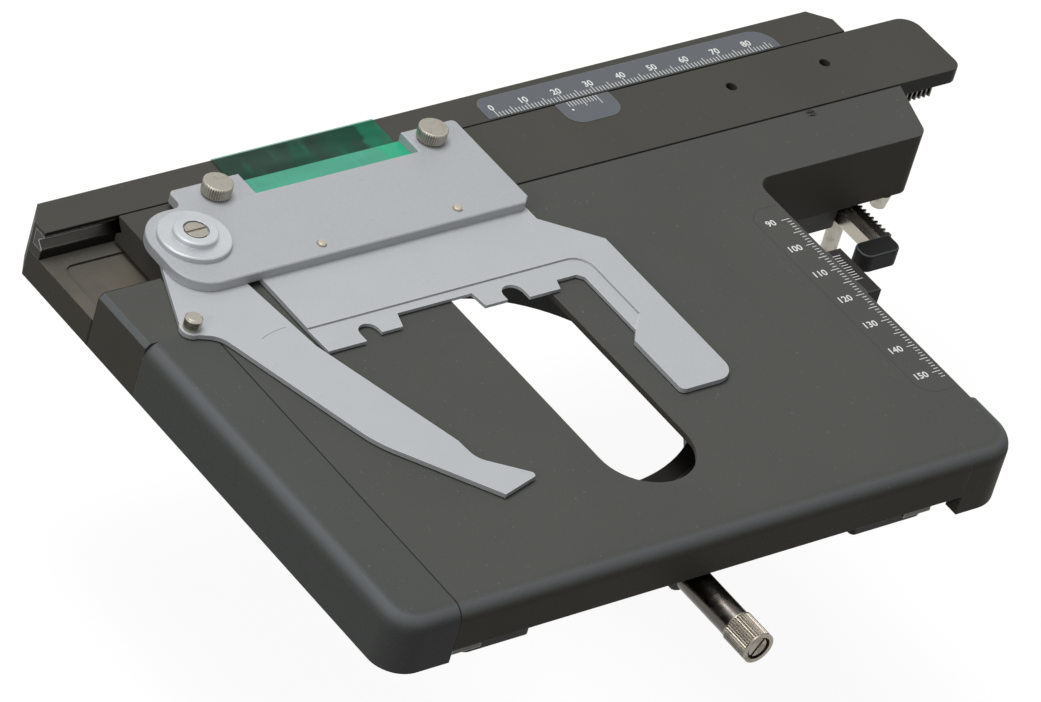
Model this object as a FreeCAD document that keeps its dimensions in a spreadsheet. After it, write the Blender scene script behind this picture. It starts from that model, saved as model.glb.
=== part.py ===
import FreeCAD, Part
import math
import operator
import os
from types import SimpleNamespace

import Sketcher

os.makedirs("parts", exist_ok=True)

# A mechanical microscope stage. Millimetres, z up. The origin lies on the optical axis, on the flat
# face that sits on the stand. The front faces -y. Every piece is drawn where it stands with the
# specimen holder at reading 20 and the stage at reading 105.

# Driving sizes. Sides and edges of the stage are distances from the optical axis.
SIZES = {
    # Heights above the seat face
    "base_thickness": 5.7,
    "ring_height": 5.6,
    "way_height": 6.0,
    "apron_gap": 0.3,
    "stage_height": 24.0,
    "plate_thickness": 5.0,
    "channel_depth": 8.0,
    "skirt_drop": 3.5,
    "right_wall_drop": 5.5,
    "block_drop": 6.0,
    # Base plate, seen from above
    "base_left": 64.0,
    "base_right": 75.0,
    "base_front": 64.0,
    "base_rear": 62.0,
    "lobe_reach": 2.5,
    "left_lobe_width": 20.4,
    "right_lobe_width": 22.6,
    "lobe_corner": 3.0,
    "bore_radius": 41.5,
    "ring_radius": 47.0,
    "ring_chamfer": 1.0,
    "tab_reach": 19.5,
    "tab_front": 17.0,
    "tab_rear": 3.0,
    "tab_corner": 3.0,
    "arm_reach": 48.4,
    "arm_front": 30.0,
    "arm_corner": 2.0,
    # Crossed-roller ways
    "roller_radius": 1.5,
    "roller_length": 2.6,
    "roller_clearance": 0.05,
    "roller_pitch": 12.0,
    "way_gap": 0.8,
    "cage_thickness": 0.5,
    "cage_window_length": 3.2,
    "cage_window_half": 2.1,
    "y_way_face": 62.0,
    "y_way_height_of_rollers": 3.0,
    "y_way_fixed_width": 8.0,
    "y_way_fixed_front_reach": 2.0,
    "y_way_fixed_rear_gap": 2.0,
    "y_way_moving_width": 8.2,
    "y_way_moving_front_gap": 4.0,
    "y_way_moving_rear_gap": 1.0,
    "y_cage_front": 45.0,
    "y_cage_rear": 15.0,
    "y_cage_half_height": 2.6,
    "y_cage_first_roller": 6.0,
    "y_cage_rollers": 5,
    "way_screw_inset": 4.5,
    "way_screw_head_radius": 2.3,
    "way_screw_head": 2.0,
    "way_screw_radius": 1.4,
    "way_screw_end_gap": 16.0,
    "way_screw_engagement": 4.2,
    "moving_screw_inset": 4.8,
    "moving_screw_engagement": 3.0,
    "moving_screw_end_gap": 11.0,
    # Clamp at the front of the base
    "clamp_height": 5.8,
    "boss_radius": 5.3,
    "boss_overhang": 3.5,
    "clamp_core_radius": 2.6,
    "running_clearance": 0.05,
    "clamp_pad_recess": 0.55,
    "clamp_pad_length": 8.0,
    "clamp_shoulder_gap": 1.0,
    "clamp_spindle_radius": 3.8,
    "clamp_spindle_length": 18.7,
    "clamp_sleeve_radius": 4.15,
    "clamp_sleeve_length": 8.2,
    "clamp_stub_radius": 3.0,
    "clamp_end_recess": 1.6,
    "clamp_end_radius": 3.1,
    "clamp_cap_radius": 2.5,
    "clamp_cap_height": 1.2,
    "clamp_slot_width": 0.8,
    "clamp_slot_depth": 0.6,
    # Guide bar, rack and index block of the base
    "bar_width": 3.5,
    "bar_bottom": 0.9,
    "bar_height": 3.8,
    "bar_front": 14.0,
    "bar_rear": 86.0,
    "rack_front": 18.0,
    "rack_depth": 2.95,
    "y_rack_bottom": 0.7,
    "bar_screw_head_radius": 1.4,
    "bar_screw_head": 1.8,
    "bar_screw_radius": 0.8,
    "bar_screw_length": 7.0,
    "bar_screw_front": 36.0,
    "bar_screw_spacing": 20.0,
    "cap_left_overlap": 6.1,
    "cap_right_overlap": 2.3,
    "cap_front": 12.0,
    "cap_bottom": 0.5,
    "cap_top": 5.4,
    "cap_corner": 2.5,
    "cap_edge": 0.6,
    "index_left": 89.5,
    "index_width": 4.5,
    "index_front": 15.5,
    "index_rear": 1.0,
    "index_drop": 0.2,
    "index_edge": 0.3,
    "index_screw_front": 12.0,
    "index_screw_rear": 2.5,
    "index_screw_head_radius": 1.6,
    "index_screw_head": 1.6,
    "index_screw_recess": 0.1,
    "index_screw_radius": 0.9,
    "index_screw_engagement": 4.3,
    # Stage casting, seen from above
    "left_side": 92.5,
    "left_seam": 75.3,
    "right_seam": 75.7,
    "front_side": 75.0,
    "rail_depth": 10.0,
    "block_side_reach": 14.35,
    "left_cover_rear": 28.5,
    "right_cover_gap": 5.0,
    "block_left": 89.2,
    "block_front_wall": 2.3,
    "block_inner_corner": 4.5,
    "block_front_reach": 8.35,
    "block_outer_corner": 4.0,
    "channel_front": 48.0,
    "left_chamfer_width": 4.3,
    "left_chamfer_depth": 5.5,
    "right_chamfer": 5.0,
    "apron_thickness": 3.0,
    "channel_wall": 8.0,
    "left_skirt_thickness": 4.0,
    "rear_skirt_thickness": 2.8,
    "front_edge_radius": 4.0,
    "ear_chamfer": 1.2,
    "slot_radius": 12.75,
    "slot_front": 42.75,
    "slot_rear": 17.75,
    "slot_lip": 1.2,
    "slot_relief_radius": 16.0,
    "recess_left_edge": 3.9,
    "recess_right_edge": 4.2,
    "recess_front_edge": 3.0,
    "recess_width": 16.0,
    "recess_depth": 0.6,
    "recess_corner": 3.0,
    # Covers
    "cover_strip": 5.0,
    "left_wall": 4.5,
    "right_wall": 4.5,
    "front_wall": 4.0,
    "left_cover_corner": 8.0,
    "right_cover_corner": 10.0,
    "right_cover_side": 92.5,
    "right_recess_front": 56.5,
    "cover_rib": 4.0,
    "cover_screw_front": 60.0,
    "cover_screw_rear": 10.0,
    "cover_screw_head_radius": 2.0,
    "cover_screw_head": 1.5,
    "cover_screw_radius": 1.2,
    "cover_screw_length": 5.0,
    # Cross slide
    "slide_clearance": 0.3,
    "slide_left": 71.8,
    "slide_right": 171.3,
    "slide_low_right": 163.3,
    "slide_back": 70.2,
    "slide_flange": 4.0,
    "slide_low_height": 3.0,
    "slide_low_setback": 1.2,
    "slide_lip_reach": 0.5,
    "slide_lip_thickness": 0.8,
    "slide_rear_corner": 5.0,
    "slide_front_corner": 3.5,
    "accessory_hole_radius": 1.5,
    "accessory_hole_left": 106.7,
    "accessory_hole_spacing": 30.0,
    "accessory_hole_setback": 8.2,
    # Rear rail and its way
    "x_roller_drop": 3.2,
    "x_way_half_height": 2.2,
    "x_way_depth": 3.5,
    "x_cage_half_height": 2.1,
    "x_cage_left": 35.0,
    "x_cage_right": 100.0,
    "x_cage_first_roller": 7.5,
    "x_cage_rollers": 11,
    "x_cage_window_half": 1.9,
    "x_way_screw_head_radius": 1.9,
    "x_way_screw_head": 1.8,
    "x_way_screw_radius": 1.1,
    "x_way_screw_gap": 0.3,
    "x_way_screw_first": 70.0,
    "x_way_screw_spacing": 65.0,
    "rail_screw_inset": 4.8,
    "rail_screw_head_radius": 1.9,
    "rail_screw_head": 2.0,
    "rail_screw_radius": 1.2,
    "rail_screw_engagement": 5.0,
    "rail_screw_first": 80.0,
    "rail_screw_spacing": 54.0,
    # Gib in the front wall of the channel
    "gib_left": 85.0,
    "gib_end_gap": 1.0,
    "gib_thickness": 1.4,
    "gib_running_gap": 0.1,
    "gib_drop": 3.8,
    "gib_height": 3.0,
    "gib_screw_head_radius": 1.1,
    "gib_screw_head": 0.8,
    "gib_screw_radius": 0.6,
    "gib_screw_length": 3.9,
    "gib_screw_end_gap": 12.0,
    "gib_screw_spacing": 59.0,
    # Scale plates
    "scale_thickness": 0.7,
    "scale_proud": 0.1,
    "x_scale_left": 38.2,
    "x_scale_right": 129.7,
    "x_scale_setback": 0.5,
    "x_scale_rear_setback": 2.0,
    "x_scale_left_corner": 3.0,
    "x_scale_right_corner": 6.0,
    "x_vernier_left": 57.7,
    "x_vernier_right": 74.2,
    "x_vernier_depth": 8.2,
    "x_vernier_corner": 4.5,
    # Drive: both pinions share one axis
    "drive_setback": 7.0,
    "tooth_module": 0.5,
    "x_pinion_teeth": 32,
    "y_pinion_teeth": 24,
    "rack_backlash": 0.03,
    "x_rack_left": 72.0,
    "x_rack_depth": 3.5,
    "x_rack_gaps_left": 40,
    "x_rack_gaps_right": 18,
    "x_rack_screw_setback": 2.2,
    "x_rack_screw_end_gap": 6.0,
    "x_rack_screw_spacing": 39.65,
    "x_rack_screw_head_radius": 1.1,
    "x_rack_screw_head": 1.2,
    "x_rack_screw_radius": 0.7,
    "x_rack_screw_cover": 1.5,
    "y_rack_gaps_front": 14,
    "y_rack_gaps_rear": 28,
    "gear_cavity_radius": 9.2,
    "gear_cavity_clearance": 0.6,
    "bearing_height": 8.0,
    "shaft_radius": 1.25,
    "shaft_engagement": 1.7,
    "shaft_end_gap": 0.3,
    "shaft_bottom": 66.0,
    "sleeve_radius": 2.1,
    "sleeve_collar_radius": 3.0,
    "sleeve_collar": 0.8,
    "sleeve_end_gap": 0.3,
    "x_pinion_inset": 0.2,
    "x_pinion_width": 2.5,
    "x_pinion_hub_radius": 2.6,
    "y_pinion_bottom": 0.9,
    "y_pinion_width": 3.8,
    "y_pinion_hub_radius": 3.2,
    "y_pinion_hub": 1.0,
    "y_knob_top": 35.0,
    "y_knob_height": 13.0,
    "y_knob_radius": 12.0,
    "x_knob_height": 15.0,
    "x_knob_radius": 10.0,
    "x_knob_floor": 2.0,
    "knob_edge": 1.0,
    "knob_groove": 0.7,
    "knob_grooves": 36,
    "bearing_screw_right": 1.65,
    "bearing_screw_front": 9.3,
    "bearing_screw_radius": 0.8,
    "bearing_screw_length": 4.0,
    "bearing_screw_head_radius": 2.6,
    "bearing_screw_tip_radius": 2.0,
    "bearing_screw_head": 4.0,
    "block_screw_left": 15.65,
    "block_screw_setback": 1.5,
    "block_screw_head_radius": 1.2,
    "block_screw_recess": 0.4,
    "block_screw_proud": 0.25,
    "block_screw_radius": 0.6,
    "block_screw_length": 3.0,
    "slot_width": 0.5,
    "slot_depth": 0.3,
    # Specimen holder
    "finger_thickness": 1.6,
    "finger_relief": 0.3,
    "finger_relief_overlap": 0.5,
    "finger_rear": 70.0,
    "finger_inner_right": 24.75,
    "finger_shoulder_rear": 34.1,
    "finger_shoulder": 12.0,
    "finger_arm_front": 30.9,
    "finger_arm_left": 20.25,
    "finger_arm_corner": 5.0,
    "finger_arm_notch_front": 11.9,
    "finger_jaw_x": 23.25,
    "finger_jaw_front": 8.3,
    "finger_jaw_rear": 12.1,
    "finger_jaw_chamfer": 1.5,
    "finger_step_x": 15.75,
    "finger_edge": 10.6,
    "finger_edge_left": 14.75,
    "right_notch_right": 5.75,
    "right_notch_width": 6.0,
    "notch_top": 16.1,
    "right_notch_corner": 2.9,
    "right_lug_front": 11.6,
    "right_lug_width": 6.5,
    "finger_bay_rear": 16.6,
    "finger_bay_left": 29.25,
    "finger_bay_right": 7.25,
    "left_lug_front": 12.1,
    "left_lug_right": 30.75,
    "left_lug_left": 36.75,
    "left_notch_width": 5.5,
    "left_notch_corner": 2.7,
    "finger_tail_left": 53.25,
    "ledge_line": 19.1,
    "ledge_right": 27.75,
    "ledge_front": 3.9,
    "ledge_corner": 5.0,
    "ledge_depth": 0.4,
    "holder_thickness": 2.7,
    "holder_rear": 70.5,
    "holder_notch_front": 62.9,
    "holder_front": 37.7,
    "holder_right": 25.4,
    "holder_front_chamfer": 2.0,
    "holder_left": 74.4,
    "holder_left_rear": 64.6,
    "holder_step_left": 59.0,
    "holder_notch_left": 38.7,
    "holder_notch_right": 9.4,
    "holder_front_left_corner": 9.0,
    "holder_left_corner": 10.5,
    "holder_step_corner": 2.0,
    "holder_rear_corner": 1.5,
    "holder_edge": 0.3,
    "rivet_left": 34.5,
    "rivet_right": 5.5,
    "rivet_y": 41.4,
    "rivet_radius": 1.1,
    "rivet_dome": 0.5,
    "thumb_left": 48.6,
    "thumb_right": 14.9,
    "thumb_y": 65.8,
    "thumb_radius": 1.5,
    "thumb_depth": 6.0,
    "thumb_seat_gap": 0.05,
    "thumb_neck": 0.3,
    "thumb_neck_radius": 3.0,
    "thumb_head_radius": 3.75,
    "thumb_head": 3.4,
    "thumb_edge": 0.4,
    "thumb_grooves": 38,
    "thumb_groove": 0.25,
    "film_thickness": 0.15,
    "film_rail_gap": 0.25,
    "film_step_gap": 0.05,
    "film_side_gap": 0.1,
    # Lever
    "pivot_x": 63.5,
    "pivot_y": 53.1,
    "lever_gap": 0.3,
    "lever_thickness": 1.2,
    "lever_head_radius": 9.6,
    "lever_hub_radius": 3.0,
    "lever_hub_height": 3.7,
    "pivot_radius": 1.5,
    "pivot_depth": 5.0,
    "lobe_x": 79.9,
    "lobe_y": 28.8,
    "lobe_radius": 2.9,
    "lever_pin_radius": 2.2,
    "lever_pin_height": 3.3,
    "lever_pin_dome": 0.5,
    "lever_neck_x": 73.1,
    "lever_neck_y": 52.1,
    "lever_waist_x": 75.2,
    "lever_waist_y": 23.8,
    "lever_waist_corner": 6.0,
    "lever_knee_x": 61.8,
    "lever_knee_y": 20.8,
    "lever_knee_corner": 30.0,
    "lever_tip_x": 43.3,
    "lever_tip_y": 46.6,
    "lever_toe_x": 31.4,
    "lever_toe_y": 43.4,
    "lever_toe_corner": 1.0,
    "lever_throat_x": 42.4,
    "lever_throat_y": 33.6,
    "lever_throat_corner": 6.0,
    "lever_bend_x": 42.9,
    "lever_bend_y": 26.9,
    "lever_heel_x": 55.3,
    "lever_heel_y": 13.1,
    "lever_inner_bow": 160.0,
    "lever_shoulder_x": 58.9,
    "lever_shoulder_y": 47.0,
    "housing_radius": 9.0,
    "housing_height": 1.5,
    "housing_wall": 1.4,
    "housing_cavity": 1.0,
    "collar_radius": 5.5,
    "collar_height": 1.5,
    "collar_recess": 1.0,
    "collar_recess_radius": 3.25,
    "collar_chamfer": 0.3,
    "pivot_head_radius": 2.75,
    "pivot_head": 0.9,
    "pivot_slot_width": 0.7,
    "pivot_slot_depth": 0.45,
    "spring_gap": 0.1,
    "spring_thickness": 0.25,
    "spring_height": 0.8,
    "spring_pitch": 1.3,
}

OPERATIONS = {"+": operator.add, "-": operator.sub, "*": operator.mul, "/": operator.truediv}
ROOT_TWO = math.sqrt(2)
PRESSURE_ANGLE = math.radians(20)


class Dim:
    """A size in two forms: its value, and the same sum written for the spreadsheet."""

    def __init__(self, value, text):
        self.value = value
        self.text = text

    def __add__(self, other):
        return joined(self, "+", other)

    def __radd__(self, other):
        return joined(other, "+", self)

    def __sub__(self, other):
        return joined(self, "-", other)

    def __rsub__(self, other):
        return joined(other, "-", self)

    def __mul__(self, other):
        return joined(self, "*", other)

    def __rmul__(self, other):
        return joined(other, "*", self)

    def __truediv__(self, other):
        return joined(self, "/", other)

    def __neg__(self):
        return joined(-1, "*", self)


def as_dim(size):
    """Return a plain number as a Dim; leave a Dim as it is."""
    if isinstance(size, Dim):
        return size
    return Dim(float(size), "(%.9f)" % size)


def joined(left, sign, right):
    """Return the sum, difference, product or quotient of two sizes."""
    left = as_dim(left)
    right = as_dim(right)
    value = OPERATIONS[sign](left.value, right.value)
    return Dim(value, "(%s %s %s)" % (left.text, sign, right.text))


def make_sheet(document, sizes):
    """Write the driving sizes into a spreadsheet and return them as named Dims."""
    sheet = document.addObject("Spreadsheet::Sheet", "Sizes")
    for row, (name, value) in enumerate(sizes.items(), start=1):
        sheet.set("A%d" % row, name)
        sheet.set("B%d" % row, str(value))
        sheet.setAlias("B%d" % row, name)
    document.recompute()
    return SimpleNamespace(**{name: Dim(value, "Sizes." + name) for name, value in sizes.items()})


doc = FreeCAD.newDocument("MicroscopeStage")
size = make_sheet(doc, SIZES)
pieces = []


# Outlines

def circle(x, y, radius):
    """A full circle."""
    return ("circle", x, y, radius)


def outline(*corners):
    """A closed outline of straight edges. A corner is x, y and, if it is rounded, a radius."""
    spots = [(as_dim(corner[0]), as_dim(corner[1])) for corner in corners]
    radii = [corner[2] if len(corner) > 2 else None for corner in corners]
    stretches = []
    for index, (x, y) in enumerate(spots):
        radius = radii[index]
        if radius is None:
            stretches.append((x, y, None))
            continue
        before = spots[index - 1]
        after = spots[(index + 1) % len(spots)]
        inward = direction(before, (x, y))
        outward = direction((x, y), after)
        turn = math.atan2(
            inward.x * outward.y - inward.y * outward.x,
            inward.x * outward.x + inward.y * outward.y,
        )
        reach = as_dim(radius) * math.tan(abs(turn) / 2)
        stretches.append((x - reach * inward.x, y - reach * inward.y, radius * math.copysign(1, turn)))
        stretches.append((x + reach * outward.x, y + reach * outward.y, None))
    return ("outline", stretches)


def bowed(*stretches):
    """A closed outline whose stretches are x, y and the radius of the stretch that starts there.

    A positive radius turns left, a negative one right, and None is straight.
    """
    return ("outline", [(as_dim(x), as_dim(y), radius) for x, y, radius in stretches])


def box(left, front, right, rear):
    """An upright rectangle."""
    return outline((left, front), (right, front), (right, rear), (left, rear))


def hexagon(x, y, radius):
    """A hexagon with a corner on its right."""
    corners = [(math.cos(math.pi * side / 3), math.sin(math.pi * side / 3)) for side in range(6)]
    return outline(*[(x + radius * across, y + radius * up) for across, up in corners])


def long_slot(x, front, rear, radius):
    """A slot along y with round ends centred on front and rear."""
    return ("slot", x, front, rear, radius)


def direction(start, end):
    """Return the unit vector from one spot to another, at the sizes as they are now."""
    across = end[0].value - start[0].value
    up = end[1].value - start[1].value
    return FreeCAD.Vector(across, up, 0).normalize()


def point(x, y):
    """Return a spot of a sketch as a vector."""
    return FreeCAD.Vector(as_dim(x).value, as_dim(y).value, 0)


def arc_between(start, end, radius):
    """Return the shorter arc from start to end; a positive radius turns left."""
    chord = end - start
    middle = (start + end) / 2
    left = FreeCAD.Vector(-chord.y, chord.x, 0).normalize()
    rise = math.sqrt(max(radius ** 2 - (chord.Length / 2) ** 2, 0))
    centre = middle + left * math.copysign(rise, radius)
    away = (middle - centre)
    if away.Length < 1e-6:
        away = left * -radius
    crest = centre + away.normalize() * abs(radius)
    return Part.Arc(start, crest, end)


def pin(sketch, geometry, end, x, y):
    """Hold one point of a sketch at x and y from the sketch's origin."""
    for kind, amount in (("DistanceX", as_dim(x)), ("DistanceY", as_dim(y))):
        rule = Sketcher.Constraint(kind, -1, 1, geometry, end, amount.value)
        bind(sketch, rule, amount)


def bind(sketch, rule, amount):
    """Add a constraint to a sketch and tie it to the spreadsheet."""
    number = sketch.addConstraint(rule)
    sketch.setExpression("Constraints[%d]" % number, as_dim(amount).text)


def draw_circle(sketch, x, y, radius):
    """Draw a circle held by its centre and radius."""
    circle_shape = Part.Circle(point(x, y), FreeCAD.Vector(0, 0, 1), as_dim(radius).value)
    number = sketch.addGeometry(circle_shape, False)
    pin(sketch, number, 3, x, y)
    bind(sketch, Sketcher.Constraint("Radius", number, as_dim(radius).value), radius)


def draw_outline(sketch, stretches):
    """Draw a closed outline held at each corner, with its arcs held by radius."""
    first = sketch.GeometryCount
    count = len(stretches)
    ends = []
    for index, (x, y, radius) in enumerate(stretches):
        next_x, next_y, _ = stretches[(index + 1) % count]
        start = point(x, y)
        end = point(next_x, next_y)
        if radius is None:
            sketch.addGeometry(Part.LineSegment(start, end), False)
            ends.append((1, 2))
        else:
            amount = as_dim(radius).value
            sketch.addGeometry(arc_between(start, end, amount), False)
            ends.append((1, 2) if amount > 0 else (2, 1))
    for index in range(count):
        follower = (index + 1) % count
        rule = Sketcher.Constraint(
            "Coincident", first + index, ends[index][1], first + follower, ends[follower][0]
        )
        sketch.addConstraint(rule)
    for index, (x, y, radius) in enumerate(stretches):
        pin(sketch, first + index, ends[index][0], x, y)
        if radius is not None:
            amount = as_dim(radius) * math.copysign(1, as_dim(radius).value)
            bind(sketch, Sketcher.Constraint("Radius", first + index, amount.value), amount)


def draw_slot(sketch, x, front, rear, radius):
    """Draw a slot with two round ends and two straight sides."""
    half = as_dim(radius).value
    across = FreeCAD.Vector(half, 0, 0)
    upward = FreeCAD.Vector(0, 0, 1)
    rear_arc = Part.ArcOfCircle(Part.Circle(point(x, rear), upward, half), 0, math.pi)
    front_arc = Part.ArcOfCircle(Part.Circle(point(x, front), upward, half), math.pi, 2 * math.pi)
    left_side = Part.LineSegment(point(x, rear) - across, point(x, front) - across)
    right_side = Part.LineSegment(point(x, front) + across, point(x, rear) + across)
    first = sketch.GeometryCount
    for shape in (rear_arc, left_side, front_arc, right_side):
        sketch.addGeometry(shape, False)
    for index in range(4):
        follower = (index + 1) % 4
        sketch.addConstraint(Sketcher.Constraint("Tangent", first + index, 2, first + follower, 1))
    pin(sketch, first, 3, x, rear)
    pin(sketch, first + 2, 3, x, front)
    bind(sketch, Sketcher.Constraint("Radius", first, half), radius)


DRAWERS = {"circle": draw_circle, "outline": draw_outline, "slot": draw_slot}

# Pads run along the sketch normal and pockets against it. The xz plane's normal points to -y.
PLANE_NORMALS = {"XY": 1, "XZ": -1, "YZ": 1}


class Piece:
    """One separate solid of the stage: a body with its own sketches and features."""

    def __init__(self, label, x=0, y=0, z=0, rotation=None):
        self.body = doc.addObject("PartDesign::Body", label)
        self.body.Label = label
        if rotation is not None:
            self.body.Placement = FreeCAD.Placement(FreeCAD.Vector(0, 0, 0), rotation)
        for axis, amount in (("x", x), ("y", y), ("z", z)):
            self.body.setExpression("Placement.Base." + axis, as_dim(amount).text)
        pieces.append(self.body)

    def sketch(self, plane, level, loops):
        """Draw closed loops on a plane parallel to one of the body's own planes."""
        sketch = self.body.newObject("Sketcher::SketchObject", "Outline")
        role = plane + "_Plane"
        origin_plane = next(part for part in self.body.Origin.OriginFeatures if part.Role == role)
        sketch.AttachmentSupport = [(origin_plane, "")]
        sketch.MapMode = "FlatFace"
        offset = as_dim(level) * PLANE_NORMALS[plane]
        sketch.setExpression("AttachmentOffset.Base.z", offset.text)
        for loop in loops:
            DRAWERS[loop[0]](sketch, *loop[1:])
        sketch.Visibility = False
        return sketch

    def add(self, plane, low, high, *loops):
        """Add material between two levels inside the loops."""
        start = low if PLANE_NORMALS[plane] > 0 else high
        pad = self.body.newObject("PartDesign::Pad", "Pad")
        pad.Profile = self.sketch(plane, start, loops)
        pad.setExpression("Length", (as_dim(high) - low).text)
        self.body.Tip = pad
        return pad

    def cut(self, plane, low, high, *loops):
        """Remove material between two levels inside the loops."""
        start = high if PLANE_NORMALS[plane] > 0 else low
        pocket = self.body.newObject("PartDesign::Pocket", "Pocket")
        pocket.Profile = self.sketch(plane, start, loops)
        pocket.setExpression("Length", (as_dim(high) - low).text)
        self.body.Tip = pocket
        return pocket

    def turn(self, *profile):
        """Add a solid of revolution about the local z axis from (radius, height) corners."""
        revolution = self.body.newObject("PartDesign::Revolution", "Revolution")
        sketch = self.sketch("XZ", 0, [outline(*profile)])
        revolution.Profile = sketch
        revolution.ReferenceAxis = (sketch, ["V_Axis"])
        revolution.Angle = 360
        self.body.Tip = revolution

    def repeat_round(self, pocket, count):
        """Repeat a pocket evenly about the local z axis."""
        pattern = self.body.newObject("PartDesign::PolarPattern", "RoundPattern")
        pattern.Originals = [pocket]
        pattern.Axis = (pocket.Profile[0], ["N_Axis"])
        pattern.Angle = 360
        pattern.setExpression("Occurrences", as_dim(count).text)
        self.body.Tip = pattern

    def repeat_along(self, pocket, axis, spacing, count):
        """Repeat a pocket along a sketch axis at an even spacing."""
        pattern = self.body.newObject("PartDesign::LinearPattern", "RowPattern")
        pattern.Originals = [pocket]
        pattern.Direction = (pocket.Profile[0], [axis])
        pattern.setExpression("Length", (spacing * (as_dim(count) - 1)).text)
        pattern.setExpression("Occurrences", as_dim(count).text)
        self.body.Tip = pattern

    def dress(self, kind, amount, chosen):
        """Round or chamfer the edges that the test function picks."""
        doc.recompute()
        tip = self.body.Tip
        names = [
            "Edge%d" % number
            for number, edge in enumerate(tip.Shape.Edges, start=1)
            if chosen(edge)
        ]
        feature = self.body.newObject("PartDesign::" + kind, kind)
        feature.Base = (tip, names)
        feature.setExpression("Radius" if kind == "Fillet" else "Size", as_dim(amount).text)
        self.body.Tip = feature


def on_level(edge, axis, level):
    """Tell whether a whole edge lies at one height or side, in the body's own frame."""
    box_limits = edge.BoundBox
    low = getattr(box_limits, axis + "Min")
    high = getattr(box_limits, axis + "Max")
    goal = as_dim(level).value
    return abs(low - goal) < 1e-3 and abs(high - goal) < 1e-3


def middle_of(edge):
    """Return the point half-way along an edge."""
    return edge.valueAt((edge.FirstParameter + edge.LastParameter) / 2)


def screws(label, plane, spots, seat, head_end, tip, radii, socket_share=0.55):
    """Add a group of socket-head screws that all stand the same way.

    The head fills seat to head_end and the shank seat to tip. radii are those of head and shank.
    """
    head_radius, shank_radius = radii
    group = Piece(label)
    head_low, head_high = in_order(seat, head_end)
    group.add(plane, head_low, head_high, *[circle(x, y, head_radius) for x, y in spots])
    shank_low, shank_high = in_order(seat, tip)
    group.add(plane, shank_low, shank_high, *[circle(x, y, shank_radius) for x, y in spots])
    socket_low, socket_high = in_order(seat + (as_dim(head_end) - seat) * (1 - socket_share), head_end)
    sockets = [hexagon(x, y, head_radius * socket_share) for x, y in spots]
    group.cut(plane, socket_low, socket_high, *sockets)


def in_order(first, second):
    """Return two levels with the lower one first."""
    return (first, second) if as_dim(first).value < as_dim(second).value else (second, first)


# Levels and places that several pieces share
arm_right = size.base_right + size.arm_reach
bar_right = arm_right + size.bar_width
rack_pitch = size.tooth_module * math.pi
y_pitch_radius = size.tooth_module * size.y_pinion_teeth / 2
x_pitch_radius = size.tooth_module * size.x_pinion_teeth / 2
drive_x = bar_right + size.rack_depth + y_pitch_radius
drive_y = size.channel_front - size.drive_setback
block_front = drive_y - size.gear_cavity_radius - size.block_front_wall
block_front_right = drive_x + size.block_front_reach
right_side = drive_x + size.block_side_reach
right_cover_rear = block_front - size.right_cover_gap
pocket_rear = size.channel_front - size.channel_wall
rear_side = size.slide_back + size.way_gap + size.rail_depth
boss_end = size.base_front + size.boss_overhang
y_way_fixed_front = size.base_front + size.y_way_fixed_front_reach
y_way_fixed_rear = size.base_rear - size.y_way_fixed_rear_gap
y_way_moving_front = size.front_side - size.y_way_moving_front_gap
y_way_moving_rear = pocket_rear - size.y_way_moving_rear_gap
bearing_screw_x = drive_x + size.bearing_screw_right
bearing_screw_y = drive_y - size.bearing_screw_front
block_screw_x = drive_x - size.block_screw_left
gib_right = block_screw_x - size.block_screw_head_radius - size.gib_end_gap
block_screw_y = size.channel_front - size.block_screw_setback
base_top = size.base_thickness
ring_top = base_top + size.ring_height
way_top = base_top + size.way_height
apron_bottom = way_top + size.apron_gap
pocket_roof = size.stage_height - size.plate_thickness
channel_floor = size.stage_height - size.channel_depth
skirt_bottom = apron_bottom - size.skirt_drop
right_wall_bottom = apron_bottom - size.right_wall_drop
block_bottom = apron_bottom - size.block_drop
groove_half = (size.roller_radius + size.roller_clearance) * ROOT_TWO
groove_depth = groove_half - size.way_gap / 2
y_roller_z = base_top + size.y_way_height_of_rollers
y_way_middle = size.y_way_face + size.way_gap / 2
moving_face = size.y_way_face + size.way_gap
moving_bottom = base_top + size.apron_gap
rail_front = size.slide_back + size.way_gap
x_way_middle = size.slide_back + size.way_gap / 2
x_way_rear = rail_front + size.x_way_depth
flange_bottom = size.stage_height - size.slide_flange
slide_bottom = flange_bottom - size.slide_low_height
slide_front = size.channel_front + size.slide_clearance
slide_low_front = slide_front + size.slide_low_setback
finger_relief_rear = slide_front + size.finger_relief_overlap
accessory_hole_y = size.slide_back - size.accessory_hole_setback
x_roller_z = size.stage_height - size.x_roller_drop
gib_bottom = size.stage_height - size.gib_drop
index_top = size.stage_height - size.index_drop
index_screw_top = base_top + size.index_screw_engagement
cover_screw_height = (apron_bottom + pocket_roof) / 2
x_rack_screw_top = size.stage_height - size.x_rack_screw_cover
gear_cavity_top = flange_bottom + size.gear_cavity_clearance
shaft_top = gear_cavity_top + size.shaft_engagement
shaft_hole_top = shaft_top + size.shaft_end_gap
x_pinion_bottom = slide_bottom + size.x_pinion_inset
sleeve_collar_low = block_bottom + size.bearing_height + size.sleeve_end_gap
sleeve_collar_high = sleeve_collar_low + size.sleeve_collar
x_pinion_hub_bottom = sleeve_collar_high + size.sleeve_end_gap
x_scale_front = rail_front + size.x_scale_setback
x_scale_rear = rear_side - size.x_scale_rear_setback
slide_lip = size.slide_back + size.slide_lip_reach
x_vernier_front = slide_lip - size.x_vernier_depth
lip_bottom = size.stage_height - size.slide_lip_thickness
scale_top = size.stage_height + size.scale_proud
scale_bottom = scale_top - size.scale_thickness
finger_bottom = size.stage_height
finger_top = finger_bottom + size.finger_thickness
holder_top = finger_top + size.holder_thickness
finger_left = size.pivot_x - size.lever_head_radius - size.lever_gap
lever_bottom = size.stage_height + size.lever_gap
lever_top = lever_bottom + size.lever_thickness
housing_top = holder_top + size.housing_height
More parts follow.
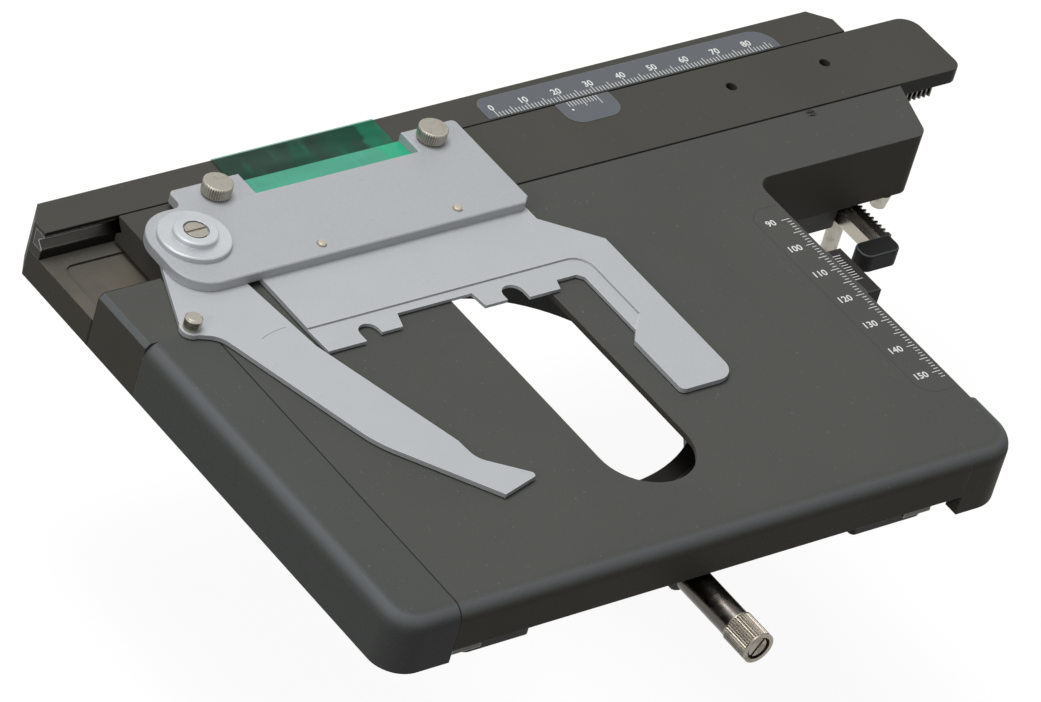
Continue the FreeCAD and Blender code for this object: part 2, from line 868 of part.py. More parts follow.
cavity_top = holder_top + size.housing_cavity
collar_top = housing_top + size.collar_height
lower_rim = rear_side - size.left_chamfer_depth
right_rim = rear_side - size.right_chamfer
clamp_bore = size.clamp_core_radius + size.running_clearance
moving_way_screws = (
    -y_way_moving_front + size.moving_screw_end_gap,
    (y_way_moving_rear - y_way_moving_front) / 2,
    y_way_moving_rear - size.moving_screw_end_gap,
)
fixed_way_screws = (
    -y_way_fixed_front + size.way_screw_end_gap,
    (y_way_fixed_rear - y_way_fixed_front) / 2,
    y_way_fixed_rear - size.way_screw_end_gap,
)
fixed_way_spots = [
    (side * (size.y_way_face - size.way_screw_inset), y) for side in (-1, 1) for y in fixed_way_screws
]
moving_way_spots = [
    (side * (moving_face + size.moving_screw_inset), y) for side in (-1, 1) for y in moving_way_screws
]
bar_screw_z = size.bar_bottom + size.bar_height / 2
bar_screw_spots = [
    (size.bar_screw_front, bar_screw_z),
    (size.bar_screw_front + size.bar_screw_spacing, bar_screw_z),
]
index_screw_x = size.index_left + size.index_width / 2
index_screw_spots = [
    (index_screw_x, -size.index_screw_front),
    (index_screw_x, -size.index_screw_rear),
]
cover_screw_spots = [
    (-size.cover_screw_front, cover_screw_height),
    (size.cover_screw_rear, cover_screw_height),
]
rail_screw_spots = [
    (-size.rail_screw_first + size.rail_screw_spacing * number, rear_side - size.rail_screw_inset)
    for number in range(5)
]
x_way_screw_spots = [
    (-size.x_way_screw_first + size.x_way_screw_spacing * number, x_roller_z)
    for number in range(4)
]
gib_screw_z = gib_bottom + size.gib_height / 2
gib_screw_spots = [
    (-size.gib_left + size.gib_screw_end_gap + size.gib_screw_spacing * number, gib_screw_z)
    for number in range(4)
]
x_rack_screw_y = drive_y + x_pitch_radius + size.x_rack_screw_setback
x_rack_screw_spots = [
    (size.x_rack_left + size.x_rack_screw_end_gap + size.x_rack_screw_spacing * number, x_rack_screw_y)
    for number in range(3)
]
thumb_spots = [(-size.thumb_left, size.thumb_y), (size.thumb_right, size.thumb_y)]
rivet_spots = [(-size.rivet_left, size.rivet_y), (size.rivet_right, size.rivet_y)]


# Base, which is clamped to the stand

def base_plate():
    """The bored plate with two front lobes, the right tab, the right arm and the clamp boss."""
    lobe_front = -size.base_front - size.lobe_reach
    plate = Piece("base_plate")
    plate.add(
        "XY", 0, base_top,
        outline(
            (-size.base_left, size.base_rear),
            (-size.base_left, lobe_front, size.lobe_corner),
            (size.left_lobe_width - size.base_left, lobe_front, size.lobe_reach / 2),
            (size.left_lobe_width - size.base_left, -size.base_front),
            (size.base_right - size.right_lobe_width, -size.base_front),
            (size.base_right - size.right_lobe_width, lobe_front, size.lobe_reach / 2),
            (size.base_right, lobe_front, size.lobe_corner),
            (size.base_right, -size.tab_front),
            (size.base_right + size.tab_reach, -size.tab_front, size.tab_corner),
            (size.base_right + size.tab_reach, size.tab_rear, size.tab_corner),
            (size.base_right, size.tab_rear),
            (size.base_right, size.arm_front),
            (arm_right, size.arm_front, size.arm_corner),
            (arm_right, size.base_rear, size.arm_corner),
        ),
    )
    plate.add("XY", base_top, ring_top, circle(0, 0, size.ring_radius))
    plate.dress("Chamfer", size.ring_chamfer, lambda edge: on_level(edge, "Z", ring_top))
    plate.add("XZ", -boss_end, -size.bore_radius, circle(0, size.clamp_height, size.boss_radius))
    plate.cut("XY", 0, ring_top, circle(0, 0, size.bore_radius))
    plate.cut("XZ", -boss_end, -size.bore_radius / 2, circle(0, size.clamp_height, clamp_bore))
    way_holes = [circle(x, y, size.way_screw_radius) for x, y in fixed_way_spots]
    plate.cut("XY", base_top - size.way_screw_engagement, base_top, *way_holes)
    bar_holes = [circle(y, z, size.bar_screw_radius) for y, z in bar_screw_spots]
    plate.cut("YZ", arm_right - size.bar_screw_length, arm_right, *bar_holes)
    heads = [circle(x, y, size.index_screw_head_radius) for x, y in index_screw_spots]
    plate.cut("XY", 0, size.index_screw_recess + size.index_screw_head, *heads)
    shanks = [circle(x, y, size.index_screw_radius) for x, y in index_screw_spots]
    plate.cut("XY", 0, base_top, *shanks)


def groove_corners(middle, z, depth_side):
    """Return the corners of a right-angled groove that opens at the middle of the gap."""
    return ((middle, z + groove_half), (middle + groove_half * depth_side, z), (middle, z - groove_half))


def y_way_fixed(name, side):
    """One ground steel way on the base, with its groove on the outer face."""
    way = Piece(name)
    inner = side * (size.y_way_face - size.y_way_fixed_width)
    left, right = in_order(inner, side * size.y_way_face)
    way.add("XY", base_top, way_top, box(left, -y_way_fixed_front, right, y_way_fixed_rear))
    groove = outline(*groove_corners(side * y_way_middle, y_roller_z, -side))
    way.cut("XZ", -y_way_fixed_front, y_way_fixed_rear, groove)
    spots = [(x, y) for x, y in fixed_way_spots if x.value * side > 0]
    way.cut("XY", base_top, way_top, *[circle(x, y, size.way_screw_radius) for x, y in spots])
    heads = [circle(x, y, size.way_screw_head_radius) for x, y in spots]
    way.cut("XY", way_top - size.way_screw_head, way_top, *heads)


def y_way_moving(name, side):
    """One ground steel way under the stage, with its groove on the inner face."""
    way = Piece(name)
    outer = side * (moving_face + size.y_way_moving_width)
    left, right = in_order(side * moving_face, outer)
    way.add(
        "XY", moving_bottom, pocket_roof,
        box(left, -y_way_moving_front, right, y_way_moving_rear),
    )
    groove = outline(*groove_corners(side * y_way_middle, y_roller_z, side))
    way.cut("XZ", -y_way_moving_front, y_way_moving_rear, groove)
    spots = [(x, y) for x, y in moving_way_spots if x.value * side > 0]
    way.cut("XY", moving_bottom, pocket_roof, *[circle(x, y, size.way_screw_radius) for x, y in spots])
    heads = [circle(x, y, size.way_screw_head_radius) for x, y in spots]
    way.cut("XY", moving_bottom, moving_bottom + size.way_screw_head, *heads)


def way_screws():
    """The screws of the fixed and the moving ways."""
    radii = (size.way_screw_head_radius, size.way_screw_radius)
    seat = way_top - size.way_screw_head
    tip = base_top - size.way_screw_engagement
    screws("y_way_fixed_screws", "XY", fixed_way_spots, seat, way_top, tip, radii)
    seat = moving_bottom + size.way_screw_head
    tip = pocket_roof + size.moving_screw_engagement
    screws("y_way_moving_screws", "XY", moving_way_spots, seat, moving_bottom, tip, radii)


def y_guide_bar():
    """The bar bolted to the end of the arm, which carries the rack."""
    bar = Piece("y_guide_bar")
    bar_top = size.bar_bottom + size.bar_height
    bar.add("XY", size.bar_bottom, bar_top, box(arm_right, size.bar_front, bar_right, size.bar_rear))
    bar.cut("YZ", arm_right, bar_right, *[circle(y, z, size.bar_screw_radius) for y, z in bar_screw_spots])
    heads = [circle(y, z, size.bar_screw_head_radius) for y, z in bar_screw_spots]
    bar.cut("YZ", bar_right - size.bar_screw_head, bar_right, *heads)
    screws(
        "y_guide_bar_screws", "YZ", bar_screw_spots,
        bar_right - size.bar_screw_head, bar_right, arm_right - size.bar_screw_length,
        (size.bar_screw_head_radius, size.bar_screw_radius),
    )


def rack_gap(reach):
    """Return half the width of a rack gap at a reach outward from the pitch line."""
    return rack_pitch / 4 + size.rack_backlash + reach * math.tan(PRESSURE_ANGLE)


def y_rack():
    """The rack of the front-to-back drive, with teeth facing +x."""
    tip = drive_x - y_pitch_radius + size.tooth_module
    root = drive_x - y_pitch_radius - size.tooth_module * 1.25
    clear = tip + size.tooth_module / 2
    top = size.bar_bottom + size.bar_height
    rack = Piece("y_rack")
    rack.add("XY", size.y_rack_bottom, top, box(bar_right, size.rack_front, tip, size.bar_rear))
    first = drive_y - rack_pitch * (size.y_rack_gaps_front - 0.5)
    narrow = rack_gap(size.tooth_module * -1.25)
    wide = rack_gap(size.tooth_module * 1.5)
    gap = outline(
        (root, first - narrow),
        (clear, first - wide),
        (clear, first + wide),
        (root, first + narrow),
    )
    pocket = rack.cut("XY", size.y_rack_bottom, top, gap)
    rack.repeat_along(pocket, "V_Axis", rack_pitch, size.y_rack_gaps_front + size.y_rack_gaps_rear)


def guide_end_cap():
    """The black cap that fits over the nose of the guide bar."""
    cap = Piece("guide_end_cap")
    left = arm_right - size.cap_left_overlap
    right = bar_right + size.cap_right_overlap
    cap.add(
        "XY", size.cap_bottom, size.cap_top,
        outline(
            (left, size.cap_front, size.cap_corner),
            (right, size.cap_front, size.cap_corner),
            (right, size.rack_front),
            (left, size.rack_front, size.cap_corner),
        ),
    )
    bar_top = size.bar_bottom + size.bar_height
    cap.cut("XY", size.cap_bottom, bar_top, box(arm_right, size.bar_front, bar_right, size.rack_front))
    cap.dress(
        "Fillet", size.cap_edge,
        lambda edge: on_level(edge, "Z", size.cap_top),
    )


def y_vernier_block():
    """The upright block beside the right scale, with its screws from below."""
    block = Piece("y_vernier_block")
    right = size.index_left + size.index_width
    block.add(
        "XY", base_top, index_top,
        box(size.index_left, -size.index_front, right, size.index_rear),
    )
    shanks = [circle(x, y, size.index_screw_radius) for x, y in index_screw_spots]
    block.cut("XY", base_top, index_screw_top, *shanks)
    block.dress("Chamfer", size.index_edge, lambda edge: on_level(edge, "Z", index_top))
    screws(
        "y_vernier_screws", "XY", index_screw_spots,
        size.index_screw_recess + size.index_screw_head, size.index_screw_recess, index_screw_top,
        (size.index_screw_head_radius, size.index_screw_radius),
    )


# Clamp, built along local z and laid along -y

LAID_FORWARD = FreeCAD.Rotation(FreeCAD.Vector(1, 0, 0), 90)
LAID_FORWARD_SLOT_UP = LAID_FORWARD.multiply(FreeCAD.Rotation(FreeCAD.Vector(0, 0, 1), 60))
pad_front = size.bore_radius + size.clamp_pad_recess
pad_rear = pad_front + size.clamp_pad_length
spindle_shoulder = boss_end + size.clamp_shoulder_gap
sleeve_start = spindle_shoulder + size.clamp_spindle_length
sleeve_end = sleeve_start + size.clamp_sleeve_length
recess_floor = sleeve_end - size.clamp_end_recess


def clamp_piece(name, turned=LAID_FORWARD):
    """Start a piece on the clamp's axis."""
    return Piece(name, 0, 0, size.clamp_height, turned)


def clamp():
    """The brass pad, the threaded spindle, its knurled sleeve and the screw in its end."""
    pad = clamp_piece("clamp_pad")
    pad.turn(
        (0, pad_front),
        (size.clamp_core_radius, pad_front),
        (size.clamp_core_radius, pad_rear),
        (0, pad_rear),
    )
    spindle = clamp_piece("clamp_spindle")
    spindle.turn(
        (0, pad_rear),
        (size.clamp_core_radius, pad_rear),
        (size.clamp_core_radius, spindle_shoulder),
        (size.clamp_spindle_radius, spindle_shoulder),
        (size.clamp_spindle_radius, sleeve_start),
        (size.clamp_stub_radius, sleeve_start),
        (size.clamp_stub_radius, recess_floor),
        (0, recess_floor),
    )
    sleeve = clamp_piece("clamp_sleeve")
    sleeve.turn(
        (size.clamp_stub_radius, sleeve_start),
        (size.clamp_sleeve_radius, sleeve_start),
        (size.clamp_sleeve_radius, sleeve_end),
        (size.clamp_end_radius, sleeve_end),
        (size.clamp_end_radius, recess_floor),
        (size.clamp_stub_radius, recess_floor),
    )
    knurl(sleeve, size.clamp_sleeve_radius, sleeve_start + size.thumb_edge, sleeve_end - size.thumb_edge)
    cap = clamp_piece("clamp_cap_screw", LAID_FORWARD_SLOT_UP)
    cap_end = recess_floor + size.clamp_cap_height
    cap.turn(
        (0, recess_floor),
        (size.clamp_cap_radius, recess_floor),
        (size.clamp_cap_radius, cap_end),
        (0, cap_end),
    )
    driver_slot(cap, cap_end, size.clamp_cap_radius, size.clamp_slot_width, size.clamp_slot_depth)


def knurl(piece, radius, low, high):
    """Cut straight knurling round a turned head."""
    depth = size.thumb_groove
    groove = outline((radius + depth, -depth * 2), (radius + depth, depth * 2), (radius - depth, 0))
    pocket = piece.cut("XY", low, high, groove)
    piece.repeat_round(pocket, size.thumb_grooves)


def driver_slot(piece, top, radius, width, depth):
    """Cut a screwdriver slot across a turned head."""
    piece.cut("XY", top - depth, top, box(-radius, -width / 2, radius, width / 2))


# Front-to-back stage

def stage_outline():
    """Return the corners of the casting seen from above."""
    return outline(
        (-size.left_side, size.left_cover_rear),
        (-size.left_seam, size.left_cover_rear),
        (-size.left_seam, -size.front_side),
        (size.right_seam, -size.front_side),
        (size.right_seam, right_cover_rear),
        (size.block_left, right_cover_rear),
        (size.block_left, block_front, size.block_inner_corner),
        (block_front_right, block_front, size.block_outer_corner),
        (right_side, size.channel_front),
        (right_side, right_rim),
        (right_side - size.right_chamfer, rear_side),
        (-size.left_side + size.left_chamfer_width, rear_side),
        (-size.left_side, lower_rim),
    )


def top_plate():
    """The casting: light slot, cross channel, drive block, ears and skirts."""
    plate = Piece("top_plate")
    plate.add("XY", apron_bottom, size.stage_height, stage_outline())
    inner_left = -size.left_side + size.left_skirt_thickness
    inner_rear = rear_side - size.rear_skirt_thickness
    plate.add(
        "XY", skirt_bottom, apron_bottom,
        outline(
            (-size.left_side, size.left_cover_rear),
            (inner_left, size.left_cover_rear),
            (inner_left, inner_rear),
            (right_side - size.right_chamfer, inner_rear),
            (right_side - size.right_chamfer, rear_side),
            (-size.left_side + size.left_chamfer_width, rear_side),
            (-size.left_side, lower_rim),
        ),
    )
    plate.add(
        "XY", block_bottom, apron_bottom,
        outline(
            (size.block_left, block_front),
            (block_front_right, block_front, size.block_outer_corner),
            (right_side, size.channel_front),
            (size.block_left, size.channel_front),
        ),
    )
    plate.cut(
        "XY", channel_floor, size.stage_height,
        box(-size.left_side, size.channel_front, right_side, rear_side),
    )
    recess_front = size.channel_front + size.recess_front_edge
    plate.cut(
        "XY", channel_floor - size.recess_depth, channel_floor,
        outline(
            (-size.left_side + size.recess_left_edge, recess_front, size.recess_corner),
            (right_side - size.recess_right_edge, recess_front, size.recess_corner),
            (
                right_side - size.recess_right_edge,
                recess_front + size.recess_width,
                size.recess_corner,
            ),
            (
                -size.left_side + size.recess_left_edge,
                recess_front + size.recess_width,
                size.recess_corner,
            ),
        ),
    )
    plate.cut(
        "XY", apron_bottom, pocket_roof,
        box(
            -size.left_seam + size.apron_thickness,
            -size.front_side + size.apron_thickness,
            size.right_seam - size.apron_thickness,
            pocket_rear,
        ),
    )
    light_slot = long_slot(0, -size.slot_front, size.slot_rear, size.slot_radius)
    plate.cut("XY", pocket_roof, size.stage_height, light_slot)
    relief = long_slot(0, -size.slot_front, size.slot_rear, size.slot_relief_radius)
    plate.cut("XY", pocket_roof, size.stage_height - size.slot_lip, relief)
    plate.cut(
        "XY", block_bottom, gear_cavity_top,
        circle(drive_x, drive_y, size.gear_cavity_radius),
    )
    shaft_hole = circle(drive_x, drive_y, size.shaft_radius + size.running_clearance)
    plate.cut("XY", gear_cavity_top, shaft_hole_top, shaft_hole)
    gib_back = size.channel_front + size.slide_clearance - size.gib_running_gap - size.gib_thickness
    plate.cut(
        "XY", gib_bottom, gib_bottom + size.gib_height,
        box(-size.gib_left, gib_back, gib_right, size.channel_front),
    )
    plate.cut(
        "XZ", gib_back - size.gib_screw_length, gib_back,
        *[circle(x, z, size.gib_screw_radius) for x, z in gib_screw_spots],
    )
    plate.cut(
        "XY", pocket_roof, pocket_roof + size.moving_screw_engagement,
        *[circle(x, y, size.way_screw_radius) for x, y in moving_way_spots],
    )
    plate.cut(
        "XY", apron_bottom, channel_floor,
        *[circle(x, y, size.rail_screw_radius) for x, y in rail_screw_spots],
    )
    plate.cut(
        "XY", apron_bottom, apron_bottom + size.rail_screw_head,
        *[circle(x, y, size.rail_screw_head_radius) for x, y in rail_screw_spots],
    )
    cover_screw_cuts(plate, -1, size.left_seam)
    cover_screw_cuts(plate, 1, size.right_seam)
    screw_x = block_screw_x
    screw_y = block_screw_y
    plate.cut(
        "XY", size.stage_height - size.block_screw_recess, size.stage_height,
        circle(screw_x, screw_y, size.block_screw_head_radius + size.running_clearance),
    )
    plate.cut(
        "XY", size.stage_height - size.block_screw_recess - size.block_screw_length, size.stage_height,
        circle(screw_x, screw_y, size.block_screw_radius),
    )
    plate.cut(
        "XY", block_bottom, block_bottom + size.bearing_screw_length,
        circle(bearing_screw_x, bearing_screw_y, size.bearing_screw_radius),
    )
    plate.dress(
        "Fillet", size.front_edge_radius,
        lambda edge: on_level(edge, "Z", size.stage_height) and on_level(edge, "Y", -size.front_side),
    )
    plate.dress(
        "Chamfer", size.ear_chamfer,
        lambda edge: on_level(edge, "Z", size.stage_height) and on_level(edge, "X", -size.left_side),
    )


def cover_screw_cuts(plate, side, seam):
    """Cut the holes of one cover's screws through the apron."""
    inner = seam - size.apron_thickness
    low, high = in_order(side * inner, side * seam)
    plate.cut("YZ", low, high, *[circle(y, z, size.cover_screw_radius) for y, z in cover_screw_spots])
    low, high = in_order(side * inner, side * (inner + size.cover_screw_head))
    plate.cut("YZ", low, high, *[circle(y, z, size.cover_screw_head_radius) for y, z in cover_screw_spots])


def cover_screws(name, side, seam):
    """The screws of one cover, driven outward from inside the apron."""
    inner = seam - size.apron_thickness
    seat = side * (inner + size.cover_screw_head)
    tip = side * (inner + size.cover_screw_head + size.cover_screw_length)
    radii = (size.cover_screw_head_radius, size.cover_screw_radius)
    screws(name, "YZ", cover_screw_spots, seat, side * inner, tip, radii)


def cover_rib_holes(cover, side, seam):
    """Cut the threaded holes in the rib of a cover."""
    tip = seam - size.apron_thickness + size.cover_screw_head + size.cover_screw_length
    low, high = in_order(side * seam, side * tip)
    cover.cut("YZ", low, high, *[circle(y, z, size.cover_screw_radius) for y, z in cover_screw_spots])


def left_cover():
    """The left edge cover, an angle with a front wall and a rib against the apron."""
    cover = Piece("left_cover")
    outer = -size.left_side
    cover.add(
        "XY", skirt_bottom, size.stage_height,
        outline(
            (outer, size.left_cover_rear),
            (outer, -size.front_side, size.left_cover_corner),
            (-size.left_seam, -size.front_side),
            (-size.left_seam, size.left_cover_rear),
        ),
    )
    rib = -size.left_seam - size.cover_rib
    inner_front = -size.front_side + size.front_wall
    roof = size.stage_height - size.cover_strip
    cover.cut("XY", skirt_bottom, roof, box(outer + size.left_wall, inner_front, rib, size.left_cover_rear))
    cover.cut("XY", skirt_bottom, apron_bottom, box(rib, inner_front, -size.left_seam, size.left_cover_rear))
    cover_rib_holes(cover, -1, size.left_seam)
    cover.dress(
        "Fillet", size.front_edge_radius,
        lambda edge: on_level(edge, "Z", size.stage_height)
        and middle_of(edge).x < -size.left_seam.value - 0.01
        and middle_of(edge).y < size.left_cover_rear.value - 0.01,
    )


def right_cover():
    """The right edge cover, which carries the front-to-back scale."""
    cover = Piece("right_cover")
    side = size.right_cover_side
    cover.add(
        "XY", right_wall_bottom, size.stage_height,
        outline(
            (size.right_seam, right_cover_rear),
            (size.right_seam, -size.front_side),
            (side, -size.front_side, size.right_cover_corner),
            (side, -size.right_recess_front),
            (size.block_left, -size.right_recess_front),
            (size.block_left, right_cover_rear),
        ),
    )
    rib = size.right_seam + size.cover_rib
    inner_front = -size.front_side + size.front_wall
    roof = size.stage_height - size.cover_strip
    cover.cut("XY", right_wall_bottom, roof, box(rib, inner_front, side - size.right_wall, right_cover_rear))
    cover.cut("XY", right_wall_bottom, apron_bottom, box(size.right_seam, inner_front, rib, right_cover_rear))
    cover_rib_holes(cover, 1, size.right_seam)
    cover.dress(
        "Fillet", size.front_edge_radius,
        lambda edge: on_level(edge, "Z", size.stage_height)
        and (
            on_level(edge, "Y", -size.front_side)
            or (middle_of(edge).y < -size.right_recess_front.value - 0.01 and middle_of(edge).x > rib.value)
        ),
    )


def rear_rail():
    """The rail behind the channel, with room for the steel way and the scale."""
    rail = Piece("rear_rail")
    rail.add(
        "XY", channel_floor, size.stage_height,
        outline(
            (-size.left_side, rail_front),
            (right_side, rail_front),
            (right_side, right_rim),
            (right_side - size.right_chamfer, rear_side),
            (-size.left_side + size.left_chamfer_width, rear_side),
            (-size.left_side, lower_rim),
        ),
    )
    low = x_roller_z - size.x_way_half_height
    high = x_roller_z + size.x_way_half_height
    rail.cut("YZ", -size.left_side, right_side, box(rail_front, low, x_way_rear, high))
    rail.cut("XY", scale_bottom, size.stage_height, scale_outline())
    rail.cut(
        "XY", channel_floor, channel_floor + size.rail_screw_engagement,
        *[circle(x, y, size.rail_screw_radius) for x, y in rail_screw_spots],
    )
    rail.cut(
        "XZ", x_way_rear, rear_side,
        *[circle(x, z, size.x_way_screw_radius) for x, z in x_way_screw_spots],
    )
    rail.cut(
        "XZ", rear_side - size.x_way_screw_head, rear_side,
        *[circle(x, z, size.x_way_screw_head_radius) for x, z in x_way_screw_spots],
    )


def scale_outline():
    """Return the outline of the cross scale."""
    return outline(
        (size.x_scale_left, x_scale_front),
        (size.x_scale_right, x_scale_front),
        (size.x_scale_right, x_scale_rear, size.x_scale_right_corner),
        (size.x_scale_left, x_scale_rear, size.x_scale_left_corner),
    )


def x_scale_plate():
    """The cross scale let into the rail."""
    Piece("x_scale_plate").add("XY", scale_bottom, scale_top, scale_outline())


def x_way():
    """The grooved steel way let into the front of the rail, and its screws."""
    low = x_roller_z - size.x_way_half_height
    high = x_roller_z + size.x_way_half_height
    way = Piece("x_way_rear")
    way.add("YZ", -size.left_side, right_side, box(rail_front, low, x_way_rear, high))
    groove = outline(*groove_corners(x_way_middle, x_roller_z, 1))
    way.cut("YZ", -size.left_side, right_side, groove)
    tip = rail_front + groove_depth + size.x_way_screw_gap
    way.cut("XZ", tip, x_way_rear, *[circle(x, z, size.x_way_screw_radius) for x, z in x_way_screw_spots])
    screws(
        "x_way_screws", "XZ", x_way_screw_spots,
        rear_side - size.x_way_screw_head, rear_side, tip,
        (size.x_way_screw_head_radius, size.x_way_screw_radius),
    )


def rail_screws():
    """The screws that hold the rail from below."""
    screws(
        "rail_screws", "XY", rail_screw_spots,
        apron_bottom + size.rail_screw_head, apron_bottom, channel_floor + size.rail_screw_engagement,
        (size.rail_screw_head_radius, size.rail_screw_radius),
    )


def x_gib():
    """The brass gib that the slide's flange runs along, and its screws."""
    face = slide_front - size.gib_running_gap
    back = face - size.gib_thickness
    gib = Piece("x_gib")
    gib.add(
        "XY", gib_bottom, gib_bottom + size.gib_height,
        box(-size.gib_left, back, gib_right, face),
    )
    gib.cut("XZ", back, face, *[circle(x, z, size.gib_screw_radius) for x, z in gib_screw_spots])
    gib.cut(
        "XZ", face - size.gib_screw_head, face,
        *[circle(x, z, size.gib_screw_head_radius) for x, z in gib_screw_spots],
    )
    screws(
        "x_gib_screws", "XZ", gib_screw_spots,
        face - size.gib_screw_head, face, back - size.gib_screw_length,
        (size.gib_screw_head_radius, size.gib_screw_radius),
    )


def drive_bearing():
    """The round plug that closes the gear cavity and carries the sleeve."""
    plug = Piece("drive_bearing", drive_x, drive_y, block_bottom)
    bore = size.sleeve_radius + size.running_clearance
    radius = size.gear_cavity_radius
    plug.turn((bore, 0), (radius, 0), (radius, size.bearing_height), (bore, size.bearing_height))
    screw_x = bearing_screw_x - drive_x
    screw_y = bearing_screw_y - drive_y
    hole = circle(screw_x, screw_y, size.bearing_screw_radius)
    plug.cut("XY", 0, size.bearing_screw_length, hole)


def block_fasteners():
    """The cone-headed screw under the block and the small slotted screw on top of it."""
    below = Piece("bearing_screw", bearing_screw_x, bearing_screw_y, block_bottom)
    below.turn(
        (0, -size.bearing_screw_head),
        (size.bearing_screw_tip_radius, -size.bearing_screw_head),
        (size.bearing_screw_head_radius, 0),
        (size.bearing_screw_radius, 0),
        (size.bearing_screw_radius, size.bearing_screw_length),
        (0, size.bearing_screw_length),
    )
    seat = size.stage_height - size.block_screw_recess
    height = size.block_screw_recess + size.block_screw_proud
    above = Piece("block_screw", block_screw_x, block_screw_y, seat)
    above.turn(
        (0, -size.block_screw_length),
        (size.block_screw_radius, -size.block_screw_length),
        (size.block_screw_radius, 0),
        (size.block_screw_head_radius, 0),
        (size.block_screw_head_radius, height),
        (0, height),
    )
    driver_slot(above, height, size.block_screw_head_radius, size.slot_width, size.slot_depth)


# Cross slide

def slide_bar():
    """The slide: a flange on a lower body, grooved at the back for the rollers."""
    bar = Piece("slide_bar")
    bar.add(
        "XY", flange_bottom, size.stage_height,
        outline(
            (-size.slide_left, slide_front),
            (size.slide_right, slide_front, size.slide_front_corner),
            (size.slide_right, slide_lip, size.slide_rear_corner),
            (-size.slide_left, slide_lip),
        ),
    )
    bar.add(
        "XY", slide_bottom, flange_bottom,
        box(-size.slide_left, slide_low_front, size.slide_low_right, size.slide_back),
    )
    bar.cut(
        "XY", flange_bottom, lip_bottom,
        box(-size.slide_left, size.slide_back, size.slide_right, slide_lip),
    )
    bar.cut(
        "XY", slide_bottom, flange_bottom,
        box(size.x_rack_left, slide_low_front, size.slide_low_right, x_rack_rear),
    )
    groove = outline(*groove_corners(x_way_middle, x_roller_z, -1))
    bar.cut("YZ", -size.slide_left, size.slide_right, groove)
    holes = [
        circle(size.accessory_hole_left, accessory_hole_y, size.accessory_hole_radius),
        circle(
            size.accessory_hole_left + size.accessory_hole_spacing,
            accessory_hole_y,
            size.accessory_hole_radius,
        ),
    ]
    bar.cut("XY", slide_bottom, size.stage_height, *holes)
    bar.cut("XY", scale_bottom, size.stage_height, vernier_outline())
    bar.cut(
        "XY", size.stage_height - size.thumb_depth, size.stage_height,
        *[circle(x, y, size.thumb_radius + size.running_clearance) for x, y in thumb_spots],
    )
    bar.cut(
        "XY", size.stage_height - size.pivot_depth, size.stage_height,
        circle(-size.pivot_x, size.pivot_y, size.pivot_radius),
    )
    bar.cut(
        "XY", flange_bottom, x_rack_screw_top,
        *[circle(x, y, size.x_rack_screw_radius) for x, y in x_rack_screw_spots],
    )


x_rack_tip = drive_y + x_pitch_radius - size.tooth_module
x_rack_rear = x_rack_tip + size.x_rack_depth + size.tooth_module


def x_rack():
    """The rack under the slide, with teeth facing -y."""
    root = drive_y + x_pitch_radius + size.tooth_module * 1.25
    clear = x_rack_tip - size.tooth_module / 2
    rack = Piece("x_rack")
    rack.add(
        "XY", slide_bottom, flange_bottom,
        box(size.x_rack_left, x_rack_tip, size.slide_low_right, x_rack_rear),
    )
    rack.cut(
        "XY", slide_bottom, flange_bottom,
        *[circle(x, y, size.x_rack_screw_radius) for x, y in x_rack_screw_spots],
    )
    rack.cut(
        "XY", slide_bottom, slide_bottom + size.x_rack_screw_head,
        *[circle(x, y, size.x_rack_screw_head_radius) for x, y in x_rack_screw_spots],
    )
    first = drive_x - rack_pitch * (size.x_rack_gaps_left - 0.5)
    narrow = rack_gap(size.tooth_module * -1.25)
    wide = rack_gap(size.tooth_module * 1.5)
    gap = outline(
        (first - narrow, root),
        (first - wide, clear),
        (first + wide, clear),
        (first + narrow, root),
    )
    pocket = rack.cut("XY", slide_bottom, flange_bottom, gap)
    rack.repeat_along(pocket, "H_Axis", rack_pitch, size.x_rack_gaps_left + size.x_rack_gaps_right)
    screws(
        "x_rack_screws", "XY", x_rack_screw_spots,
        slide_bottom + size.x_rack_screw_head, slide_bottom, x_rack_screw_top,
        (size.x_rack_screw_head_radius, size.x_rack_screw_radius),
    )


def vernier_outline():
    """Return the outline of the cross vernier."""
    return outline(
        (size.x_vernier_left, x_vernier_front, size.x_vernier_corner),
        (size.x_vernier_right, x_vernier_front, size.x_vernier_corner),
        (size.x_vernier_right, slide_lip),
        (size.x_vernier_left, slide_lip),
    )


def x_vernier_plate():
    """The vernier let into the slide."""
    Piece("x_vernier_plate").add("XY", scale_bottom, scale_top, vernier_outline())


